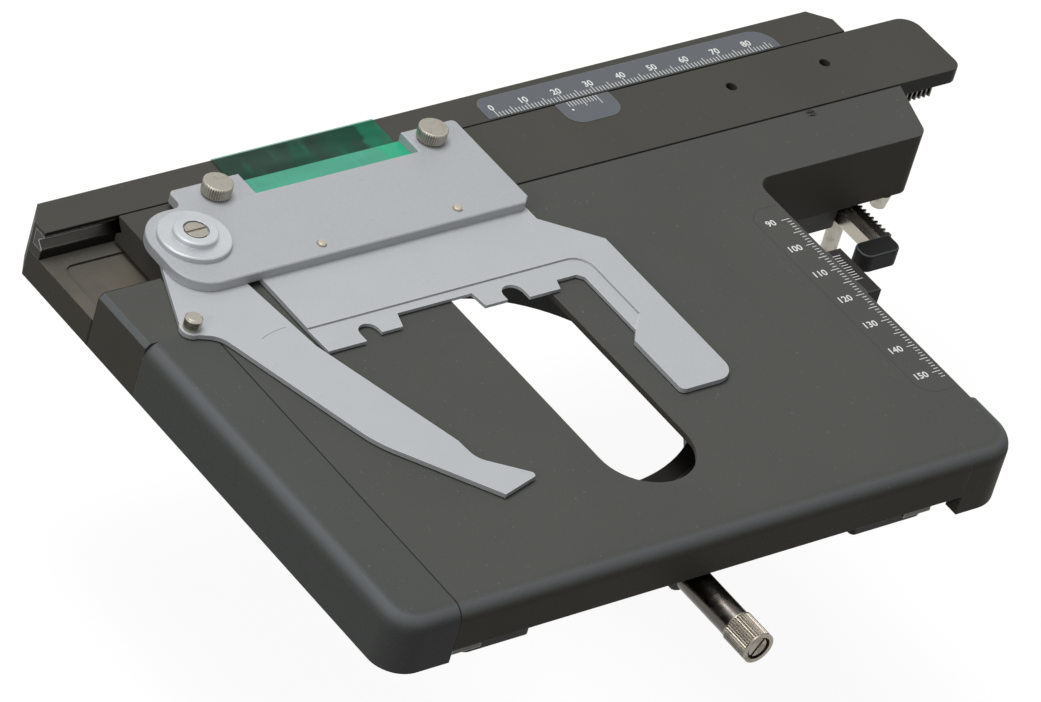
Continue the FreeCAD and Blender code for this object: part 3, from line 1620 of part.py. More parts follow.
def finger_plate():
    """The thin plate whose right arm and fingers hold the specimen."""
    plate = Piece("finger_plate")
    arm_right_side = size.finger_inner_right + size.finger_shoulder
    right_notch_left = size.right_notch_right - size.right_notch_width
    left_notch_left = -size.left_lug_left - size.left_notch_width
    plate.add(
        "XY", finger_bottom, finger_top,
        outline(
            (-finger_left, size.finger_rear),
            (size.finger_inner_right, size.finger_rear),
            (size.finger_inner_right, size.finger_shoulder_rear),
            (arm_right_side, size.finger_shoulder_rear - size.finger_shoulder),
            (arm_right_side, -size.finger_arm_front, size.finger_arm_corner),
            (size.finger_arm_left, -size.finger_arm_front, size.holder_rear_corner),
            (size.finger_arm_left, -size.finger_arm_notch_front),
            (size.finger_jaw_x, -size.finger_jaw_front),
            (size.finger_jaw_x, size.finger_jaw_rear),
            (size.finger_jaw_x - size.finger_jaw_chamfer, size.finger_jaw_rear + size.finger_jaw_chamfer),
            (size.finger_step_x, size.finger_jaw_rear + size.finger_jaw_chamfer),
            (size.finger_edge_left, size.finger_edge),
            (size.right_notch_right, size.finger_edge),
            (size.right_notch_right, size.notch_top, size.right_notch_corner),
            (right_notch_left, size.notch_top, size.right_notch_corner),
            (right_notch_left, size.right_lug_front),
            (right_notch_left - size.right_lug_width, size.right_lug_front),
            (-size.finger_bay_right, size.finger_bay_rear),
            (-size.finger_bay_left, size.finger_bay_rear),
            (-size.left_lug_right, size.left_lug_front),
            (-size.left_lug_left, size.left_lug_front),
            (-size.left_lug_left, size.notch_top, size.left_notch_corner),
            (left_notch_left, size.notch_top, size.left_notch_corner),
            (left_notch_left, size.finger_edge),
            (-size.finger_tail_left, size.finger_edge),
            (-finger_left, size.ledge_line),
        ),
    )
    plate.cut(
        "XY", finger_bottom, finger_bottom + size.finger_relief,
        box(-finger_left, -size.finger_arm_front, arm_right_side, finger_relief_rear),
    )
    plate.cut(
        "XY", finger_top - size.ledge_depth, finger_top,
        outline(
            (-finger_left, size.ledge_line),
            (-finger_left, size.finger_edge),
            (size.finger_arm_left, -size.finger_jaw_front),
            (size.finger_jaw_x, -size.finger_jaw_front),
            (size.ledge_right, -size.ledge_front),
            (size.ledge_right, size.ledge_line, size.ledge_corner),
        ),
    )
    plate.cut(
        "XY", finger_bottom, finger_top,
        *[circle(x, y, size.thumb_radius + size.running_clearance) for x, y in thumb_spots],
        *[circle(x, y, size.rivet_radius) for x, y in rivet_spots],
    )


def holder_plate():
    """The thick light plate that covers the spring pivot and clamps the finger plate."""
    plate = Piece("holder_plate")
    chamfer = size.holder_front_chamfer
    plate.add(
        "XY", finger_top, holder_top,
        outline(
            (-size.holder_step_left, size.holder_rear, size.holder_rear_corner),
            (-size.holder_notch_left, size.holder_rear),
            (-size.holder_notch_left, size.holder_notch_front),
            (size.holder_notch_right, size.holder_notch_front),
            (size.holder_notch_right, size.holder_rear),
            (size.holder_right, size.holder_rear, size.holder_rear_corner),
            (size.holder_right, size.holder_front + chamfer),
            (size.holder_right - chamfer, size.holder_front),
            (-size.holder_left, size.holder_front, size.holder_front_left_corner),
            (-size.holder_left, size.holder_left_rear, size.holder_left_corner),
            (-size.holder_step_left, size.holder_left_rear, size.holder_step_corner),
        ),
    )
    plate.cut(
        "XY", finger_top, holder_top,
        *[circle(x, y, size.thumb_radius + size.running_clearance) for x, y in thumb_spots],
        *[circle(x, y, size.rivet_radius) for x, y in rivet_spots],
        circle(-size.pivot_x, size.pivot_y, size.lever_hub_radius + size.running_clearance),
    )
    plate.dress("Chamfer", size.holder_edge, lambda edge: on_level(edge, "Z", holder_top))


def holder_rivets():
    """The two domed rivets through the holder and the finger plate."""
    rivets = Piece("holder_rivets")
    low = finger_bottom + size.finger_relief
    high = holder_top + size.rivet_dome
    rivets.add("XY", low, high, *[circle(x, y, size.rivet_radius) for x, y in rivet_spots])
    rivets.dress(
        "Fillet", size.rivet_dome * 0.9,
        lambda edge: on_level(edge, "Z", high),
    )


def film_strip():
    """The film that lies on the finger plate in the notch and steps down over the rail."""
    left = -size.holder_notch_left + size.film_side_gap
    right = size.holder_notch_right - size.film_side_gap
    step = size.finger_rear + size.film_step_gap
    step_rear = step + size.film_thickness
    low = size.stage_height + size.film_rail_gap
    top = finger_top + size.film_thickness
    film = Piece("film_strip")
    film.add(
        "XY", finger_top, top,
        box(left, size.holder_notch_front + size.film_side_gap, right, step_rear),
    )
    film.add("XY", low, top, box(left, step, right, step_rear))
    film.add("XY", low, low + size.film_thickness, box(left, step, right, rear_side))


def spring_housing():
    """The round housing over the lever's hub, with a recessed collar."""
    housing = Piece("spring_housing", -size.pivot_x, size.pivot_y, holder_top)
    total = size.housing_height + size.collar_height
    recess = total - size.collar_recess
    hole = size.pivot_radius
    cavity = size.housing_radius - size.housing_wall
    housing.turn(
        (hole, size.housing_cavity),
        (cavity, size.housing_cavity),
        (cavity, 0),
        (size.housing_radius, 0),
        (size.housing_radius, size.housing_height),
        (size.collar_radius, size.housing_height),
        (size.collar_radius, total),
        (size.collar_recess_radius, total),
        (size.collar_recess_radius, recess),
        (hole, recess),
    )
    housing.dress(
        "Chamfer", size.collar_chamfer,
        lambda edge: edge.BoundBox.XLength > size.collar_recess_radius.value * 2.1
        and (on_level(edge, "Z", total) or on_level(edge, "Z", size.housing_height))
        and abs(edge.BoundBox.XLength - size.collar_radius.value * 2) > 0.1
        or on_level(edge, "Z", total) and edge.BoundBox.XLength > size.collar_radius.value * 1.9,
    )


def pivot_screw():
    """The slotted screw that the lever turns on."""
    seat = size.housing_height + size.collar_height - size.collar_recess
    top = seat + size.pivot_head
    foot = size.stage_height - size.pivot_depth - holder_top
    screw = Piece("pivot_screw", -size.pivot_x, size.pivot_y, holder_top)
    screw.turn(
        (0, foot),
        (size.pivot_radius, foot),
        (size.pivot_radius, seat),
        (size.pivot_head_radius, seat),
        (size.pivot_head_radius, top),
        (0, top),
    )
    driver_slot(screw, top, size.pivot_head_radius, size.pivot_slot_width, size.pivot_slot_depth)


def lever_spring():
    """The flat spiral spring round the lever's hub."""
    start = size.lever_hub_radius + size.spring_gap
    quarters = 11
    spots = [quarter_spot(start, number) for number in range(quarters)]
    inner = [(x, y, mean) for x, y, mean in spots[:-1]]
    inner.append((spots[-1][0], spots[-1][1], None))
    outer_spots = [quarter_spot(start + size.spring_thickness, number) for number in range(quarters)]
    backward = list(range(quarters - 1, -1, -1))
    outer = []
    for number in backward:
        x, y, _ = outer_spots[number]
        radius = -outer_spots[number - 1][2] if number > 0 else None
        outer.append((x, y, radius))
    spring = Piece("lever_spring", -size.pivot_x, size.pivot_y, holder_top + size.spring_gap)
    spring.add("XY", 0, size.spring_height, bowed(*inner, *outer))


def quarter_spot(start, number):
    """Return a spot of the spiral and the mean radius of the quarter turn after it."""
    radius = start + size.spring_pitch * (number / 4)
    mean = start + size.spring_pitch * ((number + 0.5) / 4)
    angle = math.pi / 2 * number
    return radius * round(math.cos(angle)), radius * round(math.sin(angle)), mean


# Lever and thumbscrews

def lever():
    """The curved spring lever with its round head, pin lobe and hub."""
    arm = Piece("lever")
    arm.add("XY", lever_bottom, lever_top, circle(-size.pivot_x, size.pivot_y, size.lever_head_radius))
    arm.add(
        "XY", lever_bottom, lever_top,
        outline(
            (-size.lever_neck_x, size.lever_neck_y),
            (-size.lobe_x - size.lobe_radius, size.lobe_y, size.lobe_radius / 2),
            (-size.lobe_x, size.lobe_y - size.lobe_radius, size.lobe_radius / 2),
            (-size.lever_waist_x, size.lever_waist_y, size.lever_waist_corner),
            (-size.lever_knee_x, -size.lever_knee_y, size.lever_knee_corner),
            (-size.lever_tip_x, -size.lever_tip_y),
            (-size.lever_toe_x, -size.lever_toe_y, size.lever_toe_corner),
            (-size.lever_throat_x, -size.lever_throat_y, size.lever_throat_corner),
            (-size.lever_bend_x, -size.lever_bend_y),
            (-size.lever_heel_x, size.lever_heel_y),
            (-size.lever_shoulder_x, size.lever_shoulder_y),
        ),
    )
    arm.add("XY", lever_bottom, lever_top, circle(-size.lobe_x, size.lobe_y, size.lobe_radius))
    arm.add(
        "XY", lever_top, lever_top + size.lever_hub_height,
        circle(-size.pivot_x, size.pivot_y, size.lever_hub_radius),
    )
    arm.cut(
        "XY", lever_bottom, lever_top + size.lever_hub_height,
        circle(-size.pivot_x, size.pivot_y, size.pivot_radius + size.running_clearance),
    )
    arm.cut("XY", lever_bottom, lever_top, circle(-size.lobe_x, size.lobe_y, size.lever_pin_radius / 2))


def lever_pin():
    """The domed pin that a finger pushes to open the lever."""
    pin_piece = Piece("lever_pin", -size.lobe_x, size.lobe_y, lever_top)
    radius = size.lever_pin_radius
    shank = radius / 2
    pin_piece.turn(
        (0, -size.lever_thickness),
        (shank, -size.lever_thickness),
        (shank, 0),
        (radius, 0),
        (radius, size.lever_pin_height - size.lever_pin_dome),
        (radius - size.lever_pin_dome, size.lever_pin_height),
        (0, size.lever_pin_height),
    )


def thumbscrew(name, x, y):
    """One knurled thumbscrew of the specimen holder."""
    screw = Piece(name, x, y, holder_top + size.thumb_seat_gap)
    foot = size.stage_height - size.thumb_depth - holder_top
    low = size.thumb_neck
    high = size.thumb_neck + size.thumb_head
    edge = size.thumb_edge
    radius = size.thumb_head_radius
    screw.turn(
        (0, foot),
        (size.thumb_radius, foot),
        (size.thumb_radius, 0),
        (size.thumb_neck_radius, 0),
        (size.thumb_neck_radius, low),
        (radius - edge, low),
        (radius, low + edge),
        (radius, high - edge),
        (radius - edge, high),
        (0, high),
    )
    knurl(screw, radius, low, high)


# Coaxial drive

def drive_piece(name):
    """Start a piece on the drive's axis, with heights above the seat face."""
    return Piece(name, drive_x, drive_y, 0)


def pinion(name, teeth, low, width, hub, bore, facing):
    """Add a pinion whose gaps are centred on the rack it faces.

    hub is the radius, bottom and top of its boss. facing is the unit vector to the rack.
    """
    hub_radius, hub_low, hub_high = hub
    pitch_radius = size.tooth_module * teeth / 2
    tip = pitch_radius + size.tooth_module
    root = pitch_radius - size.tooth_module * 1.25
    wheel = drive_piece(name)
    wheel.add("XY", low, low + width, circle(0, 0, tip))
    wheel.add("XY", hub_low, hub_high, circle(0, 0, hub_radius))
    clear = tip + size.tooth_module / 2
    narrow = root * math.pi / teeth - size.tooth_module * 0.85
    wide = tip * math.pi / teeth - size.tooth_module * 0.36
    across_x, across_y = -facing[1], facing[0]
    edges = ((root, narrow), (clear, wide + (wide - narrow) * 0.4444))
    corners = [
        (out * facing[0] + half * sign * across_x, out * facing[1] + half * sign * across_y)
        for (out, half), sign in ((edges[0], -1), (edges[1], -1), (edges[1], 1), (edges[0], 1))
    ]
    pocket = wheel.cut("XY", low, low + width, outline(*corners))
    wheel.repeat_round(pocket, teeth)
    wheel.cut("XY", in_order(low, hub_low)[0], in_order(hub_high, low + width)[1], circle(0, 0, bore))


def y_drive():
    """The outer sleeve, its pinion and the larger knob."""
    bore = size.shaft_radius + size.running_clearance
    outer = size.sleeve_radius
    bottom = -size.y_knob_top - size.y_knob_height
    sleeve = drive_piece("y_sleeve")
    sleeve.turn(
        (bore, bottom),
        (outer, bottom),
        (outer, sleeve_collar_low),
        (size.sleeve_collar_radius, sleeve_collar_low),
        (size.sleeve_collar_radius, sleeve_collar_high),
        (bore, sleeve_collar_high),
    )
    hub_low = size.y_pinion_bottom + size.y_pinion_width
    hub = (size.y_pinion_hub_radius, hub_low, hub_low + size.y_pinion_hub)
    pinion(
        "y_pinion", size.y_pinion_teeth, size.y_pinion_bottom, size.y_pinion_width, hub, outer, (-1, 0)
    )
    knob("y_knob", bottom, -size.y_knob_top, size.y_knob_radius, outer, bottom)


def x_drive():
    """The inner shaft, its pinion and the smaller knob."""
    shaft = drive_piece("x_shaft")
    shaft.turn(
        (0, -size.shaft_bottom + size.x_knob_floor),
        (size.shaft_radius, -size.shaft_bottom + size.x_knob_floor),
        (size.shaft_radius, shaft_top),
        (0, shaft_top),
    )
    hub = (size.x_pinion_hub_radius, x_pinion_hub_bottom, x_pinion_bottom)
    pinion(
        "x_pinion", size.x_pinion_teeth, x_pinion_bottom, size.x_pinion_width,
        hub, size.shaft_radius, (0, 1),
    )
    low = -size.shaft_bottom
    knob(
        "x_knob", low, low + size.x_knob_height,
        size.x_knob_radius, size.shaft_radius, low + size.x_knob_floor,
    )


def knob(name, low, high, radius, bore, bore_low):
    """One fluted knob with broken edges, bored from the top."""
    edge = size.knob_edge
    wheel = drive_piece(name)
    wheel.turn(
        (0, low),
        (radius - edge, low),
        (radius, low + edge),
        (radius, high - edge),
        (radius - edge, high),
        (0, high),
    )
    depth = size.knob_groove
    groove = outline((radius + depth, -depth * 1.4), (radius + depth, depth * 1.4), (radius - depth, 0))
    pocket = wheel.cut("XY", low + edge * 2, high - edge * 2, groove)
    wheel.repeat_round(pocket, size.knob_grooves)
    wheel.cut("XY", bore_low, high, circle(0, 0, bore))


# Roller cages

def roller_group(name, count, first, along, middle, height):
    """Add crossed rollers in a row, turned one way and the other in turn.

    along is "x" or "y", the row's direction. middle is the middle of the gap on the other axis.
    """
    rollers = []
    for number in range(count):
        roller = doc.addObject("Part::Cylinder", "Roller")
        roller.setExpression("Radius", size.roller_radius.text)
        roller.setExpression("Height", size.roller_length.text)
        lean = 45 if number % 2 == 0 else -45
        axis = FreeCAD.Vector(0, 1, 0) if along == "y" else FreeCAD.Vector(1, 0, 0)
        turn = FreeCAD.Rotation(axis, lean)
        roller.Placement = FreeCAD.Placement(FreeCAD.Vector(0, 0, 0), turn)
        heading = turn.multVec(FreeCAD.Vector(0, 0, 1))
        spot = as_dim(first) + size.roller_pitch * number
        across = "y" if along == "x" else "x"
        centre = {along: spot, across: middle, "z": height}
        for letter, amount in centre.items():
            start = amount - size.roller_length * (getattr(heading, letter) / 2)
            roller.setExpression("Placement.Base." + letter, start.text)
        rollers.append(roller)
    group = doc.addObject("Part::Compound", name)
    group.Label = name
    group.Links = rollers
    pieces.append(group)


def y_cage(side_name, side):
    """One cage of the front-to-back ways with its rollers."""
    cage = Piece("y_cage_" + side_name)
    middle = side * y_way_middle
    half = size.cage_thickness / 2
    front = -size.y_cage_front
    low = y_roller_z - size.y_cage_half_height
    high = y_roller_z + size.y_cage_half_height
    cage.add("YZ", middle - half, middle + half, box(front, low, size.y_cage_rear, high))
    count = SIZES["y_cage_rollers"]
    first = front + size.y_cage_first_roller
    window = size.cage_window_length / 2
    windows = [
        box(
            first + size.roller_pitch * number - window,
            y_roller_z - size.cage_window_half,
            first + size.roller_pitch * number + window,
            y_roller_z + size.cage_window_half,
        )
        for number in range(count)
    ]
    cage.cut("YZ", middle - half, middle + half, *windows)
    roller_group("y_rollers_" + side_name, count, first, "y", middle, y_roller_z)


def x_cage():
    """The cage of the cross slide with its rollers."""
    cage = Piece("x_cage")
    half = size.cage_thickness / 2
    left = -size.x_cage_left
    low = x_roller_z - size.x_cage_half_height
    high = x_roller_z + size.x_cage_half_height
    cage.add("XZ", x_way_middle - half, x_way_middle + half, box(left, low, size.x_cage_right, high))
    count = SIZES["x_cage_rollers"]
    first = left + size.x_cage_first_roller
    window = size.cage_window_length / 2
    windows = [
        box(
            first + size.roller_pitch * number - window,
            x_roller_z - size.x_cage_window_half,
            first + size.roller_pitch * number + window,
            x_roller_z + size.x_cage_window_half,
        )
        for number in range(count)
    ]
    cage.cut("XZ", x_way_middle - half, x_way_middle + half, *windows)
    roller_group("x_rollers", count, first, "x", x_way_middle, x_roller_z)


def build_base():
    """Build everything that stays still on the stand, and the clamp."""
    base_plate()
    y_way_fixed("y_way_fixed_left", -1)
    y_way_fixed("y_way_fixed_right", 1)
    way_screws()
    y_guide_bar()
    y_rack()
    guide_end_cap()
    y_vernier_block()
    clamp()


def build_stage():
    """Build everything that moves front to back."""
    top_plate()
    left_cover()
    right_cover()
    cover_screws("left_cover_screws", -1, size.left_seam)
    cover_screws("right_cover_screws", 1, size.right_seam)
    rear_rail()
    rail_screws()
    x_way()
    x_gib()
    x_scale_plate()
    y_way_moving("y_way_moving_left", -1)
    y_way_moving("y_way_moving_right", 1)
    drive_bearing()
    block_fasteners()
    y_drive()
    x_drive()


def build_slide():
    """Build the cross slide with the specimen holder, the lever and the cages."""
    slide_bar()
    x_rack()
    x_vernier_plate()
    finger_plate()
    holder_plate()
    holder_rivets()
    film_strip()
    spring_housing()
    pivot_screw()
    lever_spring()
    lever()
    lever_pin()
    thumbscrew("thumbscrew_left", *thumb_spots[0])
    thumbscrew("thumbscrew_right", *thumb_spots[1])
    y_cage("left", -1)
    y_cage("right", 1)
    x_cage()


def write_pieces():
    """Check each feature and piece, then write each piece as a STEP file named after it."""
    doc.recompute()
    faults = []
    for part in doc.Objects:
        if {"Invalid", "Error"} & set(part.State):
            owner = part.getParentGeoFeatureGroup()
            faults.append("%s of %s" % (part.Name, owner.Label if owner else "the document"))
    for piece in pieces:
        if piece.Shape.isNull() or not piece.Shape.isValid():
            faults.append(piece.Label)
    if faults:
        raise RuntimeError("faulty pieces: " + ", ".join(faults))
    for piece in pieces:
        piece.Shape.exportStep("parts/%s.step" % piece.Label)


build_base()
build_stage()
build_slide()
write_pieces()
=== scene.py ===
"""Looks for a two-axis mechanical microscope stage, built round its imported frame."""

import logging
import math
from dataclasses import dataclass
from enum import Enum
from typing import Any, ClassVar

import bmesh
import bpy
from mathutils import Matrix, Vector


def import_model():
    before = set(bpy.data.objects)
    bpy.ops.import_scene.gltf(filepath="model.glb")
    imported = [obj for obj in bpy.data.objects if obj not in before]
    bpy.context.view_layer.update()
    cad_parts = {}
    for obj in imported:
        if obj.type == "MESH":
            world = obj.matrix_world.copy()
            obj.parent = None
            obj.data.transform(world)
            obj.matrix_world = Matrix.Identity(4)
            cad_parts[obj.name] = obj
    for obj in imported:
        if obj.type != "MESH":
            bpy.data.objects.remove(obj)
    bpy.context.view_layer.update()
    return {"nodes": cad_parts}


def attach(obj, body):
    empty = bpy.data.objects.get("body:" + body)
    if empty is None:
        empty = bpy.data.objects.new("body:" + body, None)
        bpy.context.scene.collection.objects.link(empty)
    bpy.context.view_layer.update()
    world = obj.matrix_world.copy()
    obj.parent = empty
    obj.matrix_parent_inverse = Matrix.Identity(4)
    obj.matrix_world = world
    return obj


LOG = logging.getLogger("microscope_stage")
MM = 0.001

Colour = tuple[float, float, float, float]


def shade(red: float, green: float, blue: float) -> Colour:
    """Turn a screen colour into the linear colour that a shader uses.

    Args:
        red: Red, 0 to 255.
        green: Green, 0 to 255.
        blue: Blue, 0 to 255.

    Returns:
        The linear colour, with a full alpha.
    """

    def linear(level: float) -> float:
        """Undo the screen's curve for one channel."""
        share = level / 255
        return share / 12.92 if share <= 0.04045 else ((share + 0.055) / 1.055) ** 2.4

    return (linear(red), linear(green), linear(blue), 1.0)


class Signal:
    """A node socket that Python expressions can work with."""

    def __init__(self, wiring: "Wiring", socket: bpy.types.NodeSocket) -> None:
        """Keep the socket and the wiring that it belongs to."""
        self.wiring = wiring
        self.socket = socket

    def __add__(self, other: Any) -> "Signal":
        """Add another signal or number."""
        return self.wiring.maths("ADD", self, other)

    __radd__ = __add__

    def __mul__(self, other: Any) -> "Signal":
        """Multiply by another signal or number."""
        return self.wiring.maths("MULTIPLY", self, other)

    def __sub__(self, other: Any) -> "Signal":
        """Take another signal or number away."""
        return self.wiring.maths("SUBTRACT", self, other)

    def __rsub__(self, other: Any) -> "Signal":
        """Take this signal away from a number."""
        return self.wiring.maths("SUBTRACT", other, self)

    def __truediv__(self, other: Any) -> "Signal":
        """Divide by another signal or number."""
        return self.wiring.maths("DIVIDE", self, other)

    def __mod__(self, other: Any) -> "Signal":
        """Give the rest of a division."""
        return self.wiring.maths("MODULO", self, other)

    def __lt__(self, other: Any) -> "Signal":
        """Give 1 where this signal is below the other, else 0."""
        return self.wiring.maths("LESS_THAN", self, other)

    def __gt__(self, other: Any) -> "Signal":
        """Give 1 where this signal is above the other, else 0."""
        return self.wiring.maths("GREATER_THAN", self, other)

    def within(self, low: float, high: float) -> "Signal":
        """Stretch the span from low to high to 0 to 1, and hold it there.

        Args:
            low: The level that becomes 0.
            high: The level that becomes 1.

        Returns:
            The stretched signal.
        """
        stretched = self.wiring.add(
            "ShaderNodeMapRange",
            {"clamp": True},
            {"Value": self, "From Min": low, "From Max": high},
        )
        return Signal(self.wiring, stretched.outputs["Result"])


class Wiring:
    """Adds nodes to one node tree."""

    def __init__(self, tree: bpy.types.NodeTree) -> None:
        """Keep the tree that the nodes go to."""
        self.tree = tree

    def add(
        self,
        kind: str,
        settings: dict[str, Any] | None = None,
        inputs: dict[Any, Any] | None = None,
    ) -> bpy.types.Node:
        """Add a node, set it up, and then give its sockets their values or links.

        Args:
            kind: The node's type.
            settings: The node's own settings, which are set first.
            inputs: Values, sockets or signals for its inputs, by name or number.

        Returns:
            The node.
        """
        node = self.tree.nodes.new(kind)
        for name, value in (settings or {}).items():
            setattr(node, name, value)
        for name, value in (inputs or {}).items():
            socket = node.inputs[name]
            source = value.socket if isinstance(value, Signal) else value
            if isinstance(source, bpy.types.NodeSocket):
                self.tree.links.new(source, socket)
            else:
                socket.default_value = source
        return node

    def maths(self, operation: str, *values: Any) -> Signal:
        """Add a Math node on these values and give its result."""
        node = self.add(
            "ShaderNodeMath", {"operation": operation}, dict(enumerate(values))
        )
        return Signal(self, node.outputs[0])

    def vector(self, operation: str, *values: Any) -> bpy.types.Node:
        """Add a Vector Math node on these values."""
        return self.add(
            "ShaderNodeVectorMath", {"operation": operation}, dict(enumerate(values))
        )

    def tint(self, colour: Colour, tone: Signal) -> Signal:
        """Make a colour lighter or darker by a tone near 1."""
        node = self.add(
            "ShaderNodeVectorMath",
            {"operation": "SCALE"},
            {0: colour[:3], "Scale": tone},
        )
        return Signal(self, node.outputs["Vector"])

    def mix(self, share: Any, first: Any, second: Any) -> Signal:
        """Mix two colours by a share from 0, the first, to 1, the second."""
        node = self.add(
            "ShaderNodeMix",
            {"data_type": "RGBA", "clamp_factor": True},
            {0: share, 6: first, 7: second},
        )
        return Signal(self, node.outputs[2])

    def place(self) -> Signal:
        """Give the point's place on the object, in metres."""
        return Signal(self, self.add("ShaderNodeTexCoord").outputs["Object"])

    def along(self, place: Signal, way: tuple[float, float, float]) -> Signal:
        """Give how far a place lies along one direction, in millimetres."""
        node = self.vector("DOT_PRODUCT", place, way)
        return Signal(self, node.outputs["Value"]) / MM

    def facing_up(self) -> Signal:
        """Give how much the surface faces up: 1 for a level face, 0 for a wall."""
        plain = self.add("ShaderNodeNewGeometry").outputs["Normal"]
        node = self.vector("DOT_PRODUCT", plain, (0.0, 0.0, 1.0))
        return Signal(self, node.outputs["Value"])

    def seen(self) -> Signal:
        """Give 1 for rays that show a thing to the camera, straight or by gloss or glass."""
        rays = self.add("ShaderNodeLightPath").outputs
        camera = Signal(self, rays["Is Camera Ray"])
        gloss = Signal(self, rays["Is Glossy Ray"])
        through = Signal(self, rays["Is Transmission Ray"])
        return (camera + gloss + through) > 0.5

    def noise(
        self,
        place: Signal,
        size_mm: float,
        detail: float = 2.0,
        stretch: tuple[float, float, float] = (1.0, 1.0, 1.0),
    ) -> Signal:
        """Give smooth noise with lumps of one size.

        Args:
            place: Where the noise is read.
            size_mm: How large its lumps are.
            detail: How many finer layers it has.
            stretch: How many times longer the lumps are along each axis.

        Returns:
            The noise, near 0.5 with a spread of about 0.2 each way.
        """
        spot = self.add(
            "ShaderNodeMapping",
            {"vector_type": "POINT"},
            {"Vector": place, "Scale": tuple(1 / way for way in stretch)},
        ).outputs[0]
        node = self.add(
            "ShaderNodeTexNoise",
            {"noise_dimensions": "3D"},
            {"Vector": spot, "Scale": 1 / (size_mm * MM), "Detail": detail},
        )
        return Signal(self, node.outputs[0])

    def streaks(self, along: Signal, size_mm: float) -> Signal:
        """Give noise that changes only with one length, as tool marks do."""
        node = self.add(
            "ShaderNodeTexNoise",
            {"noise_dimensions": "1D"},
            {"W": along, "Scale": 1 / (size_mm * MM), "Detail": 3.0},
        )
        return Signal(self, node.outputs[0])

    def softened(self, radius_mm: float) -> Signal:
        """Give the surface direction with its sharp edges rounded off."""
        node = self.add(
            "ShaderNodeBevel", {"samples": 4}, {"Radius": radius_mm * MM}
        )
        return Signal(self, node.outputs[0])

    def edge(self, radius_mm: float) -> Signal:
        """Give 1 along sharp edges and 0 on open faces.

        Args:
            radius_mm: How far from the edge the mask reaches.

        Returns:
            The mask.
        """
        plain = self.add("ShaderNodeNewGeometry").outputs["Normal"]
        node = self.vector("DOT_PRODUCT", self.softened(radius_mm), plain)
        return (1 - Signal(self, node.outputs["Value"])).within(0.015, 0.22)

    def bump(self, height: Signal, depth_mm: float, soft_mm: float) -> Signal:
        """Give the surface direction with fine relief on softened edges.

        Args:
            height: The relief, 0 to 1.
            depth_mm: How deep the relief is.
            soft_mm: The radius that sharp edges seem to have.

        Returns:
            The surface direction.
        """
        node = self.add(
            "ShaderNodeBump",
            {},
            {
                "Strength": 1.0,
                "Distance": depth_mm * MM,
                "Height": height,
                "Normal": self.softened(soft_mm),
            },
        )
        return Signal(self, node.outputs[0])

    def surface(self, inputs: dict[str, Any]) -> bpy.types.NodeSocket:
        """Add the main shader with these inputs and give its output."""
        return self.add("ShaderNodeBsdfPrincipled", {}, inputs).outputs[0]


@dataclass(frozen=True)
class Finish:
    """What every finish has: its name."""

    name: str

    made: ClassVar[dict["Finish", bpy.types.Material]] = {}

    def wire(self, wiring: Wiring) -> bpy.types.NodeSocket:
        """Build the finish's nodes and give the shader that they end in."""
        raise NotImplementedError(self.name)

    def material(self) -> bpy.types.Material:
        """Give the finish's material, built on first use."""
        if self not in Finish.made:
            material = bpy.data.materials.new(self.name)
            material.use_nodes = True
            material.node_tree.nodes.clear()
            wiring = Wiring(material.node_tree)
            shader = self.wire(wiring)
            wiring.add("ShaderNodeOutputMaterial", {}, {"Surface": shader})
            Finish.made[self] = material
        return Finish.made[self]


@dataclass(frozen=True)
class Seam:
    """A dark joint line in a painted face: its plane's direction, place and width."""

    way: tuple[float, float, float]
    at_mm: float
    width_mm: float = 0.5

    def mask(self, wiring: Wiring, place: Signal) -> Signal:
        """Give 1 in the joint line and 0 beside it.

        Args:
            wiring: The tree that the mask's nodes go to.
            place: Where the mask is read.

        Returns:
            The mask.
        """
        offset = wiring.along(place, self.way) - self.at_mm
        away = wiring.maths("ABSOLUTE", offset)
        return 1 - away.within(self.width_mm * 0.3, self.width_mm * 0.5)


